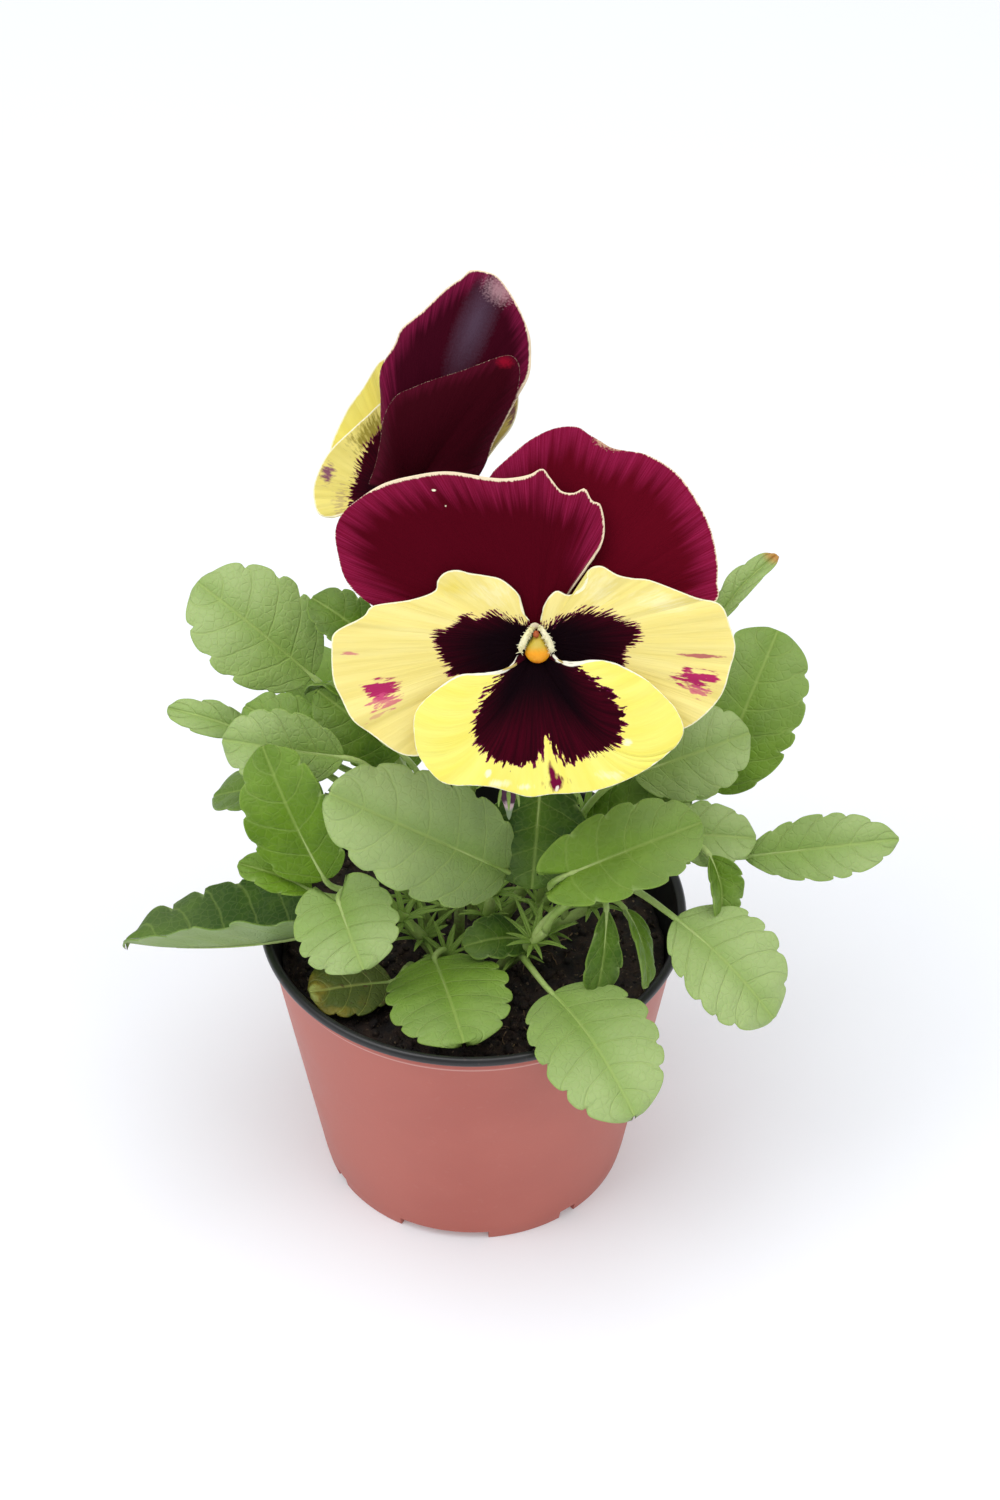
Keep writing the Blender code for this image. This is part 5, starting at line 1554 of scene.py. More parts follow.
FRONT_BLOOM = Bloom((12.4, -14.0, 150.2), 38.0, [
    Petal("front_upper_left_petal", BurgundyPetal("upper_left_burgundy", spots=(
        Spot((-19.2, 29.6), (0.45, 0.25), CREAM, turn_deg=-10, softness=0.4),
        Spot((-17.0, 26.6), (0.2, 0.2), CREAM, 0.7, softness=0.4),
    )), "burgundy_petal", (0, 1.2, -1.7), [
        (-7, 1, -1.8), (-20, 2, -1.8), (-30.9, 7.6, -1.5), (-36, 12.3, -0.8), (-37.8, 18.4, 0.1),
        (-38, 22.4, 0.6), (-36.4, 25.6, 1), (-33.4, 28.1, 1.2), (-28.8, 30.9, 1.6), (-23, 32.4, 1.8),
        (-16.4, 33.1, 1.8), (-8.4, 31.9, 1.4), (-4.6, 31.8, 1.5), (-1.1, 32.4, 1.8), (1.4, 33.5, 2.2),
        (2.9, 31.8, 1.9), (5, 29.3, 1.4), (7.4, 28.9, 1.5), (9.5, 29.7, 1.8), (10.9, 27.4, 1.2),
        (12.5, 26.6, 0.8), (13.3, 22.6, 0.2), (12.7, 19, -0.3), (10.2, 15.2, -0.8), (6.4, 9.6, -1.4),
        (3.8, 5, -1.6),
    ], bulge=-0.4, ripple=0.45, waves=8, pale_and_highlight_parts=((0.42, 0.68, 1.0), (0.68, 0.93, 0.55)), rays=190),
    Petal("front_upper_right_petal", BurgundyPetal(
        "upper_right_burgundy", middle=srgb(92, 6, 24), margin=srgb(132, 16, 54), spots=(
            Spot((14.5, 38.6), (3.4, 1.6), srgb(196, 158, 130), turn_deg=-18, ragged=1.4),
        )), "burgundy_petal", (0.6, 1.2, -3.1), [
        (-6, 5, -3.3), (-11, 16, -3.4), (-12, 26, -3), (-8.4, 32.4, -2.4), (-6.3, 34.6, -2.1),
        (-1.7, 38.5, -1.6), (1.8, 40.5, -1.4), (5, 41.5, -1.4), (8.3, 41.5, -1.6), (10.4, 40.1, -1.7),
        (12.3, 39, -1.8), (14.6, 37.6, -1.9), (17.2, 37, -1.9), (21.4, 36.2, -2), (26.5, 33.2, -2),
        (29.9, 29.2, -2.1), (33.5, 22.5, -2.3), (35, 15.8, -2.8), (35, 11.8, -3.1), (34.3, 7.6, -3.4),
        (24, 2, -3.6), (8, 0.5, -3.3),
    ], bulge=-0.5, ripple=0.4, waves=8, pale_and_highlight_parts=((0.5, 0.85, 0.35),), rays=190),
    Petal("front_left_petal", YellowPetal("left_yellow", spots=(
        Spot((-29.6, -8.2), (3.7, 1.9), MAGENTA, turn_deg=4, ragged=1.0, softness=0.3),
        Spot((-29.0, -10.8), (3.0, 1.2), ROSE, 0.8, turn_deg=14, ragged=1.7, softness=0.3),
        Spot((-35.4, -1.4), (1.7, 0.35), ROSE, 0.7, ragged=1.0, softness=0.4),
        Spot((-30.5, -13.4), (2.4, 0.5), ROSE, 0.4, turn_deg=24, ragged=1.6, softness=0.4),
        Spot((-16, 11.2), (4.5, 2.2), srgb(238, 216, 96), 0.7, ragged=0.6, softness=0.9),
        # Painted highlight on the upper part of the petal.
        Spot((-8, 10.0), (4.5, 2.6), CREAM, 0.3, softness=0.9),
    )), "pale_yellow_petal", (-0.8, 0.4, -0.1), [
        (-1.2, 4.7, 0), (-2.6, 6.7, 0.1), (-3.4, 9.8, 0.3), (-6.4, 12.5, 0.6), (-9.4, 13.3, 0.8),
        (-12.5, 13.8, 0.9), (-15, 14.4, 1), (-17.3, 13.9, 0.8), (-18.7, 12.4, 0.6), (-19.3, 10.4, 0.4),
        (-23.8, 8.8, 0.5), (-30.9, 7.7, 0.6), (-33, 5.6, 0.8), (-38.2, 2.8, 1.2), (-39, -0.1, 1.1),
        (-38.8, -6.2, 0.8), (-37.3, -9.9, 0.6), (-35.1, -14.1, 0.4), (-31.7, -16.8, 0.1),
        (-26.5, -20.5, -0.2), (-22.3, -21.1, -0.4), (-17, -19.5, -0.4), (-10, -14, -0.3),
        (-3.4, -5.4, -0.1),
    ], bulge=0.2, ripple=0.45, waves=9, pale_and_highlight_parts=((0.0, 0.9, 0.5),), rays=190, dents=(
        (-14, 9.5, 3.4, -0.7), (-25, 2, 6, 0.5), (-34, -6, 5, -0.5),
    ), blotch=[
        (-0.9, 4.3), (-2.3, 4.4), (-4.5, 4.8), (-6.2, 5.4), (-8.2, 6.0), (-10.6, 5.0), (-13.2, 5.5),
        (-15.4, 4.0), (-17.2, 3.0), (-19.0, 2.4), (-19.2, 0.4), (-18.2, -1.4), (-18.0, -2.6), (-16.6, -3.9),
        (-16.8, -4.6), (-14.6, -6), (-12, -9), (-5, -10), (1, -4), (1, 3),
    ]),
    Petal("front_right_petal", YellowPetal("right_yellow", spots=(
        Spot((30.2, -6.6), (3.7, 2.0), MAGENTA, turn_deg=-8, ragged=1.1, softness=0.3),
        Spot((30.8, -9.0), (2.6, 1.0), ROSE, 0.8, turn_deg=-16, ragged=1.6, softness=0.3),
        Spot((31.5, -2.3), (4.0, 0.4), MAGENTA, 0.8, turn_deg=-3, ragged=1.2, softness=0.4),
        # Painted highlights on the upper part of the petal.
        Spot((24, 8.0), (6.0, 2.2), CREAM, 0.35, turn_deg=-10, softness=0.9),
        Spot((12.3, 10.5), (3.4, 4.0), CREAM, 0.3, softness=0.9),
    )), "pale_yellow_petal", (0.8, 0.4, -0.1), [
        (3.2, -4.6, -0.1), (11, -13, -0.3), (21, -17.5, -0.4), (28.2, -16.3, -0.2), (32.5, -13.4, 0.1),
        (35.5, -9.8, 0.4), (37.1, -4.9, 0.7), (38.1, -0.7, 1), (37.1, 3.4, 1.1), (35.2, 7.5, 1.2),
        (30.4, 8.9, 1.1), (22.2, 12.1, 0.8), (18.6, 12.6, 0.8), (15.6, 13.3, 0.9), (12.5, 15, 0.9),
        (10.2, 14.2, 0.6), (9.2, 10.9, 0.3), (6.4, 9.5, 0.4), (3.9, 10.3, 0.6), (1.9, 8, 0.2),
        (0.9, 4.8, 0),
    ], bulge=0.2, ripple=0.45, waves=9, pale_and_highlight_parts=((0.1, 1.0, 0.5),), rays=190, dents=(
        (13, 9, 3.2, -0.6), (24, 2, 6, 0.5), (32, -5, 5, -0.5),
    ), blotch=[
        (0.5, 3.9), (2.2, 3.6), (3.9, 4.4), (5, 5.1), (6.7, 5.9), (9.4, 6.5), (11.5, 6.0), (14.2, 5.8),
        (15.5, 4.8), (17.6, 4.2), (19.2, 3.2), (19.4, 1.2), (18.6, 0.1), (17.2, -1), (16.8, -2.4),
        (16.6, -4.5), (12, -9), (5, -10), (-1, -4), (-1, 3),
    ]),
    Petal("front_lower_petal", YellowPetal(
        "lower_yellow", base=srgb(242, 236, 128), shade=srgb(240, 220, 76), rim=srgb(246, 242, 220), spots=(
            Spot((3.7, -26.2), (2.3, 1.7), WINE, ragged=0.7, softness=0.5),
            Spot((2.9, -24.6), (0.8, 2.9), WINE, turn_deg=12, ragged=0.4, softness=0.5),
            Spot((3.8, -27.3), (0.35, 0.7), srgb(240, 226, 214), turn_deg=-20, softness=0.5),
            Spot((-9.4, -24.3), (0.9, 0.9), CREAM, 0.9, softness=0.6),
            Spot((-7.6, -26.3), (2.4, 0.9), CREAM, 0.8, softness=0.9),
            Spot((-2, -27), (1.6, 0.7), CREAM, 0.8, softness=0.9),
            Spot((17.4, -18.6), (1.1, 0.9), CREAM, 0.9, softness=0.7),
            Spot((14, -25), (3.4, 1.2), CREAM, 0.5, softness=0.9),
        )), "bright_yellow_petal", (0, -0.6, 1.5), [
        (-3.6, -1.9, 2.1), (-4.6, -3.6, 2.3), (-6.6, -5, 2.6), (-10.6, -5.3, 2.9), (-14.8, -5.6, 3.2),
        (-19.4, -8.6, 3.4), (-23, -12.5, 3.4), (-23.3, -17.4, 3.2), (-22.3, -21.3, 3), (-18.7, -25.6, 3),
        (-15.6, -26.6, 3.1), (-12.8, -26.6, 3.3), (-8.8, -26.9, 3.4), (-5, -28, 3.3), (-1.5, -28.9, 3.2),
        (2.5, -28.4, 3.3), (6.1, -28.3, 3.4), (10.4, -27.9, 3.2), (14.4, -26.9, 3), (18.2, -25.3, 3),
        (21.7, -23.3, 3), (25, -20.8, 3.1), (27.3, -18.4, 3.2), (28, -15.9, 3.3), (26.8, -12.8, 3.4),
        (25.2, -10.7, 3.4), (20.8, -6.6, 3.3), (16.2, -4, 3.2), (14.4, -3.3, 3.1), (12, -2.9, 3),
        (9.5, -3.1, 2.8), (7.8, -3.8, 2.7), (6.1, -3.8, 2.5), (4.6, -3, 2.3), (3.4, -1.7, 2.1),
    ], bulge=0.6, bend=(0.0, 0.05), ripple=0.4, waves=9, rays=200,
        pale_and_highlight_parts=((0.0, 0.15, 0.6), (0.15, 0.84, 0.2), (0.84, 0.92, 0.5), (0.92, 1.0, 1.1)), blotch=[
        (-6.6, -5.6), (-7.9, -7.1), (-9, -8.8), (-10.1, -10.5), (-10.9, -12.7), (-11.8, -15.2),
        (-11.9, -16.8), (-11, -18.6), (-10.2, -20.2), (-8, -21.8), (-5.3, -22.7), (-3.4, -22.9),
        (-0.6, -22.2), (0.5, -21), (0.8, -19.4), (1.5, -17.9), (2.1, -17.2), (2.8, -18.6), (3.9, -20.3),
        (5.6, -22.4), (7.8, -21.7), (10.6, -20.8), (13.4, -19.9), (15.5, -18.2), (16.1, -16), (16.4, -14.2),
        (16.2, -12.3), (14.7, -10.2), (12, -7.7), (10, -6), (8.3, -4.4), (7.5, -2.5), (5.5, 0.5), (0, 3),
        (-5.5, 0), (-6.5, -3.5),
    ]),
])

# The bluish grey of the velvet's sheen band: painted sheen.
PAINTED_SHEEN = srgb(92, 78, 98)

REAR_BLOOM = Bloom((-12.8, 20.0, 161.0), 41.0, [
    Petal("rear_upper_far_petal", BurgundyPetal(
        "far_burgundy", middle=srgb(54, 4, 20), margin=srgb(92, 8, 40), margin_mm=4.0, streak_share=0.45,
        spots=(
            # A broad bluish-grey band down the petal: painted sheen.
            Spot((14, 33), (4.2, 15.0), PAINTED_SHEEN, 0.5, turn_deg=-22, ragged=0.5, softness=0.9),
            Spot((19, 40), (4.0, 3.4), srgb(206, 164, 170), 0.5, turn_deg=-30, ragged=1.6, softness=0.8),
        )), "burgundy_petal", (0.6, 1.2, 0.4), [
        (-3, 8, 0), (-4.4, 14, 0), (-4.5, 19, 0), (-4.5, 24.4, -0.1), (-1.7, 29.6, -0.5),
        (-0.3, 32.6, -0.7), (3.7, 35.9, -1), (8.4, 40.4, -1.4), (11.8, 42.7, -1.5), (13.2, 44, -1.5),
        (16.2, 43.8, -1.8), (18.9, 42.5, -2), (22, 38.1, -2.3), (24.6, 32.2, -2.5), (25.1, 28, -2.5),
        (24.7, 23.5, -2.3), (22.7, 19.6, -1.9), (18, 12, -1), (9, 4, 0),
    ], bulge=3.5, ripple=0.35, waves=8, pale_and_highlight_parts=((0.2, 0.62, 0.6), (0.62, 0.78, 0.9), (0.78, 0.9, 0.4))),
    Petal("rear_upper_near_petal", BurgundyPetal(
        "near_burgundy", middle=srgb(52, 4, 15), margin=srgb(66, 6, 22), margin_mm=3.0, streak_share=0.1,
        spots=(Spot((19.8, 24.8), (2.2, 1.5), srgb(150, 12, 40), 0.7, softness=0.8),)), "burgundy_petal",
        (0.8, -0.6, 2.6), [
        (-7, 1.5, 3), (-5.5, 5.6, 3.9), (-4.6, 9.6, 4.7), (-3.7, 14.6, 5.8), (-1.4, 18.5, 6.5),
        (1.8, 20, 7.2), (5.6, 21.4, 8), (11.4, 23.1, 8.5), (15.4, 24.6, 8.3), (18.6, 25.8, 8),
        (21.2, 26.1, 7.4), (22.6, 24, 7), (22.3, 19.9, 6.2), (20.5, 15.2, 5.4), (17.4, 9.4, 4.2),
        (15, 3.8, 3.5), (9, -4, 3),
    ], bulge=4.0, ripple=0.3, waves=7, pale_and_highlight_parts=((0.68, 0.82, 0.35),)),
    Petal("rear_side_petal", YellowPetal(
        "side_yellow", base=srgb(240, 226, 132), shade=srgb(214, 200, 96), count=90.0, spots=(
            # Olive patch: painted shade cast by the overlapping petal, tinted olive by its blotch.
            Spot((-6.0, 12.4), (5.6, 4.0), srgb(136, 122, 36), 0.85, turn_deg=40, ragged=0.8, softness=0.6),
            Spot((-15.3, 4.4), (1.5, 2.2), VIOLET, 0.9, turn_deg=-10, ragged=0.8, softness=0.6),
            Spot((-12.6, -1.6), (1.4, 3.0), VIOLET, 0.35, ragged=2.0, softness=0.8),
        )), "pale_yellow_petal", (-0.8, -0.4, -2.2), [
        (-0.2, 9, -3), (-0.9, 14, -3.3), (-1.8, 18.9, -3.5), (-4.6, 18.3, -3.9), (-7.4, 15.8, -4.2),
        (-9.8, 13.7, -4.5), (-14.9, 8.8, -4.5), (-17.3, 4.4, -4.2), (-18.2, 0.7, -4), (-17.3, -3.4, -3.5),
        (-15, -4.4, -3.3), (-11.3, -3.6, -3), (-5, -4, -2.6),
    ], bulge=-1.0, ripple=0.3, waves=6, pale_and_highlight_parts=((0.2, 1.0, 0.5),), blotch=[
        (0.6, 18.5), (-1.4, 16.6), (-3.8, 14), (-6.2, 11.4), (-8.3, 8.2), (-9.4, 4.2), (-10.5, 0.3),
        (-9.8, -5), (2, -6), (3, 8),
    ]),
    Petal("rear_lower_petal", YellowPetal(
        "low_yellow", base=srgb(246, 234, 124), shade=srgb(230, 212, 84), count=90.0),
        "bright_yellow_petal", (0, 0.6, -4.6), [
        (-6, 2, -6), (-10.4, 5.2, -7), (-14.9, 8.8, -8), (-11.9, 16.8, -9), (-8.2, 22.2, -9.5),
        (-5.4, 26.7, -9.5), (-3.2, 27.9, -9.5), (3, 30, -9), (9, 27, -8.5), (12, 20, -8), (10, 10, -6.5),
        (5, 4, -5),
    ], bulge=-2.0, ripple=0.35, waves=6, pale_and_highlight_parts=((0.1, 0.6, 0.5),)),
    Petal("rear_far_side_petal", YellowPetal(
        "far_side_yellow", base=srgb(240, 226, 132), shade=srgb(222, 206, 96), count=90.0, spots=(
            Spot((21.8, 15.4), (1.4, 1.9), VIOLET, 0.8, ragged=1.6, softness=0.5),
        )), "pale_yellow_petal", (1.4, 0.2, -2.4), [
        (3, 8, -3.5), (10, 18, -4.5), (18, 23, -5), (21, 22, -5), (22.6, 19.3, -5), (21.6, 14.2, -4.5),
        (18.2, 9.6, -4), (12, 2, -3.2), (6, -2, -2.6),
    ], bulge=-1.5, ripple=0.3, waves=6, pale_and_highlight_parts=((0.3, 0.9, 0.5),)),
])


def rod_shell(points: np.ndarray, count: int, sides: int, slot: int = 0, end: float = 0.12,
              steep: float = 2.2) -> Shell:
    """A tube with rounded ends, its radius times steep sin a held under 1, a from end to pi - end.

    Args:
        points: (n, 4) places and radii.
        count: How many rings it has.
        sides: How many points a ring has.
        slot: The material's number on the piece.
        end: The angle of the end rings.
        steep: How soon the full radius is reached.

    Returns:
        The tube.
    """
    fine = smooth_path(points, count)
    full = np.clip(np.sin(np.linspace(end, math.pi - end, count)) * steep, 0, 1)
    return tube_shell(fine[:, :3], fine[:, 3] * full, sides, slot)


@dataclass
class FrontEye:
    """The front bloom's eye: the throat's dome, its stigma and two bearded cheeks."""

    bloom: Bloom
    hairs: int = 150
    cheek: tuple = (
        (0.5, 3.9, 3.1, 0.34), (1.4, 2.5, 3.6, 0.52), (2.25, 1.1, 3.9, 0.6), (2.85, -0.3, 4.0, 0.58),
        (3.05, -1.4, 3.9, 0.44),
    )
    style: tuple = ((0, 0, -3.6, 0.95), (0, -0.1, 0, 0.95), (0, -0.2, 3.2, 0.9))
    stigma: tuple = ((0, 2.7, 3.6, 0.4), (0, 2.0, 4.1, 0.6), (0.05, 1.4, 4.2, 0.35))
    bridge: tuple = ((-1.0, 3.5, 2.7, 0.5), (-0.2, 3.7, 3.1, 0.62), (0.6, 3.5, 2.8, 0.45))

    SIDES = 40
    RINGS = 14
    MIDDLE = (0.3, -0.5)
    HALF_WIDTH = 2.6
    HALF_HEIGHT = 2.95
    FOOT_Z = 1.9
    BASE_Z = 2.6
    DOME_RISE = 2.0
    HAIR_RADII = (0.09, 0.085, 0.07, 0.03)

    def dome(self) -> Shell:
        """The pear-shaped throat: height 2 (1 - rho^2)^0.5 over an outline that narrows upwards.

        Returns:
            The dome, closed under the lower petal.
        """
        rings = np.sin(np.linspace(0.02, 0.5 * math.pi, self.RINGS))
        rho, angle = np.meshgrid(rings, turn_steps(self.SIDES), indexing="ij")
        x0, y0 = self.MIDDLE
        y = y0 + self.HALF_HEIGHT * rho * np.sin(angle)
        narrow = 1 - 0.62 * ease(y, -2.0, 2.6)
        x = x0 + self.HALF_WIDTH * rho * np.cos(angle) * narrow
        low_front = 1 - 0.22 * ease(y, -1, 2.4)
        z = self.BASE_Z + self.DOME_RISE * np.sqrt(np.clip(1 - rho**2, 0, 1)) * low_front
        top = np.stack([x, y, z], -1)
        low = top[-1:] * (1, 1, 0) + (0, 0, self.FOOT_Z)
        poles = [(x0, y0, z[0].mean() + 0.01), (x0, y0, self.FOOT_Z)]
        return self.bloom.place(capped_rings(np.vstack([top, low]), poles))

    def beard(self, side: int) -> list[Shell]:
        """Short hairs that stand out of a cheek, each a four-sided tapering tube.

        Args:
            side: -1 for the left cheek, 1 for the right.

        Returns:
            The hairs.
        """
        draw = np.random.default_rng(41 + side)
        route = smooth_path(np.array(self.cheek), 60)
        s = np.linspace(0, 1, 4)[:, None]
        shells = []
        for _ in range(self.hairs):
            root = route[draw.integers(2, 58)]
            lean = np.array((draw.normal(0, 0.8), draw.normal(0, 0.5), draw.uniform(0.3, 1.0)))
            place = root[:3] * (side, 1, 1)
            tip = place + unit(lean) * (root[3] + draw.uniform(0.25, 0.6))
            path = place + (tip - place) * s + np.array((0, -0.12, 0)) * s**2
            shells.append(self.bloom.place(tube_shell(path, np.array(self.HAIR_RADII), 4, slot=1)))
        return shells

    def build(self) -> None:
        """Make the eye as one piece."""
        rods = [(self.style, 12, 1), (self.stigma, 12, 2), (self.bridge, 10, 3)]
        shells = [self.dome()]
        for points, sides, slot in rods:
            shells.append(self.bloom.place(rod_shell(np.array(points), 14, sides, slot)))
        for side in (-1, 1):
            cheek = np.array([(x * side, y, z, r) for x, y, z, r in self.cheek])
            shells.append(self.bloom.place(rod_shell(cheek, 14, 10, 1)))
            shells += self.beard(side)
        finishes = [
            EyeFinish().material(),
            PlainFleshFinish("cheek_cream", srgb(236, 228, 168), srgb(246, 240, 206)).material(),
            PlainFleshFinish("stigma_brown", srgb(140, 48, 14), srgb(176, 88, 26), 700.0).material(),
            PlainFleshFinish("beard_grey", srgb(196, 180, 150), srgb(226, 214, 188), 900.0).material(),
        ]
        make_piece("front_eye", shells, finishes, "front_bloom_centre")


@dataclass
class RearEye:
    """The rear bloom's eye, deep between its folded petals."""

    bloom: Bloom
    route: tuple = (
        (-0.9, -0.1, 0.1, 0.9), (-1.8, 1.0, 0.1, 2.0), (-2.8, 2.2, 0.1, 2.0), (-3.3, 2.8, 0.1, 1.1),
    )

    def build(self) -> None:
        """Make the eye as one piece."""
        shell = self.bloom.place(rod_shell(np.array(self.route), 18, 20, end=0.1, steep=2))
        make_piece("rear_eye", [shell], [EyeFinish().material()], "rear_bloom_centre")


@dataclass
class FlowerStalk:
    """A flower stalk with its calyx, sepals and spur."""

    node: str
    foot: Spot2D
    route: list[Point]
    lean_deg: float
    calyx_length: float
    sepal_length: float
    spur: bool = False
    bracts_at: tuple[float, ...] = ()
    coarse_points: int = 6
    sepals: int = 5

    SEPAL_WIDTH = 4.0
    SEPAL_THICKNESS = 0.45
    SEPAL_ACROSS = (-1.0, -0.96, -0.85, -0.55, -0.25, 0.0, 0.25, 0.55, 0.85, 0.96, 1.0)
    STALK_RADIUS = 1.2
    STALK_STEPS = 60
    WAIST = 0.18
    CALYX_RADIUS = 1.9
    CALYX_SHAPE = (0.5, 0.75, 0.88, 0.96, 1, 1.02, 1.02, 1, 0.98, 0.96, 0.94, 0.92, 0.9, 0.88, 0.84, 0.7)
    BRACT_LENGTH = 4.2
    SPUR_LENGTH = 4.8

    def sepal(self, foot: np.ndarray, axis: np.ndarray, turn_deg: float, seed: int) -> Shell:
        """One pointed sepal, cupped along its middle and curved back at its tip.

        Args:
            foot: Where it leaves the calyx.
            axis: The calyx's axis.
            turn_deg: Its place round the axis.
            seed: Chooses its curl.

        Returns:
            The sepal.
        """
        draw = np.random.default_rng(seed)
        side = unit(np.cross(axis, (1.0, 0.1, 0.0)))
        over = np.cross(axis, side)
        turn, lean = math.radians(turn_deg), math.radians(self.lean_deg)
        out = math.cos(turn) * side + math.sin(turn) * over
        ahead = math.cos(lean) * axis + math.sin(lean) * out
        across = np.cross(out, axis)
        face = np.cross(across, ahead)
        s = np.linspace(0, 1, 22)[:, None]
        half = (self.SEPAL_WIDTH / 2 * (1 - s) ** 0.6 * (1 + 0.9 * s) * 0.92).clip(0.12)
        t = np.array(self.SEPAL_ACROSS)[None, :]
        length = self.sepal_length * draw.uniform(0.92, 1.05)
        cup = 0.35 * (t * half) ** 2 / self.SEPAL_WIDTH - 0.35 * s**2
        flat = foot + (s * length)[..., None] * ahead + (t * half)[..., None] * across
        grid = flat + cup[..., None] * face
        inset, uv, values = slim_blade(s, t, half, length, 0.5, 0.25)
        return sheet_shell(grid, inset, face, self.SEPAL_THICKNESS, uv, values, slot=1)

    def bracts(self, path: np.ndarray) -> list[Shell]:
        """Pairs of slim bracts on the stalk, each a tapering tube that bends down.

        Args:
            path: The stalk's middle.

        Returns:
            The bracts.
        """
        s = np.linspace(0, 1, 8)[:, None]
        shells = []
        for number, share in enumerate(self.bracts_at):
            place = path[int(share * (len(path) - 1))]
            for turn in (0.4, 3.4):
                out = np.array((math.cos(turn + number), math.sin(turn + number), 1.1))
                bract = place + out * self.BRACT_LENGTH * s - np.array((0, 0, 0.9)) * s**2
                shells.append(tube_shell(bract, np.linspace(0.42, 0.08, 8), 6))
        return shells

    def build(self, stalk_finish: Material, leaf_finish: Material) -> None:
        """Make the stalk, calyx, sepals and spur as one piece.

        Args:
            stalk_finish: The stalk's material.
            leaf_finish: The sepals' material.
        """
        seed = sum(map(ord, self.node))
        coarse = stem_path(self.foot, self.route, self.coarse_points)
        axis = unit(coarse[-1] - coarse[-2])
        path = stem_path(self.foot, self.route, self.STALK_STEPS)
        radii = self.STALK_RADIUS * (1 - self.WAIST * np.sin(math.pi * np.linspace(0, 1, len(path))))
        shells = [tube_shell(np.vstack([path, path[-1] + axis * 0.8]), np.append(radii, 0.9), 14)]
        base = path[-1]
        rise = np.linspace(-0.4, self.calyx_length, len(self.CALYX_SHAPE))
        swell = self.CALYX_RADIUS * np.array(self.CALYX_SHAPE)
        shells.append(tube_shell(base + axis * rise[:, None], swell, 18))
        foot = base + axis * min(1.2, self.calyx_length * 0.7)
        for number in range(self.sepals):
            shells.append(self.sepal(foot, axis, 90 + number * 72, seed + number))
        shells += self.bracts(path)
        if self.spur:
            down = unit(np.array((0, 0, -1.0)) + axis * axis[2])
            tip = base - axis * 3.0 + down * self.SPUR_LENGTH
            curve = smooth_path([foot, (foot + tip) / 2 - axis * 0.3, tip], 14)
            widths = np.interp(np.linspace(0, 1, 14), [0, 0.5, 0.85, 1], [1.1, 1.2, 0.95, 0.3])
            shells.append(tube_shell(curve, widths, 14))
        make_piece(self.node + "_dressed", shells, [stalk_finish, leaf_finish], self.node)


@dataclass
class Bud:
    """The nodding bud: furled petals that wind round to a point, with slim sepals round them."""

    top: Point = (7.2, -16.5, 120.5)
    tip: Point = (7.3, -18.5, 109.3)
    start: float = 2.1
    radius: float = 1.7
    sepals: int = 5
    sepal_length: float = 5.6

    RINGS = 26
    SIDES = 36
    SHAPE_AT = (0, 0.1, 0.25, 0.45, 0.6, 0.8, 0.93, 1)
    SHAPE = (0.5, 0.85, 1.0, 0.85, 0.6, 0.36, 0.24, 0.08)
    SEPAL_AT = (0, 0.3, 0.9, 1)
    SEPAL_RADII = (0.4, 0.5, 0.2, 0.06)

    def build(self, sepal_finish: Material) -> None:
        """Make the bud: radius r(s) (1 + 0.09 cos(3a + 5s) sin(pi s)) round the line from top to tip.

        Args:
            sepal_finish: The sepals' material.
        """
        top, tip = np.array(self.top, float), np.array(self.tip, float)
        ahead = unit(tip - top)
        side = unit(np.cross(ahead, (1.0, 0.0, 0.1)))
        over = np.cross(ahead, side)
        s = np.linspace(0, 1, self.RINGS)[:, None]
        turn = turn_steps(self.SIDES)[None]
        furls = 1 + 0.09 * np.cos(3 * turn + 5 * s) * np.sin(math.pi * s)
        radius = self.radius * np.interp(s, self.SHAPE_AT, self.SHAPE) * furls
        place = top + ahead * (self.start + s[..., None] * (np.linalg.norm(tip - top) - self.start))
        around = np.cos(turn)[..., None] * side + np.sin(turn)[..., None] * over
        rings = place + radius[..., None] * around
        shells = [capped_rings(rings, np.vstack([place[0], place[-1] + ahead * 0.15]))]
        shells[0].values["along"] = np.append(np.repeat(s.ravel(), self.SIDES), [0.0, 1.0])
        t = np.linspace(0, 1, 12)[:, None]
        radii = np.interp(t.ravel(), self.SEPAL_AT, self.SEPAL_RADII)
        for angle in turn_steps(self.sepals):
            out = math.cos(angle) * side + math.sin(angle) * over
            along = ahead * (self.start + 0.4 + self.sepal_length * t)
            path = top + along + out * (0.6 + 1.5 * np.sin(1.7 * t))
            shells.append(tube_shell(path, radii, 8, slot=1))
        make_piece("furled_bud", shells, [BudFinish().material(), sepal_finish], "bud")


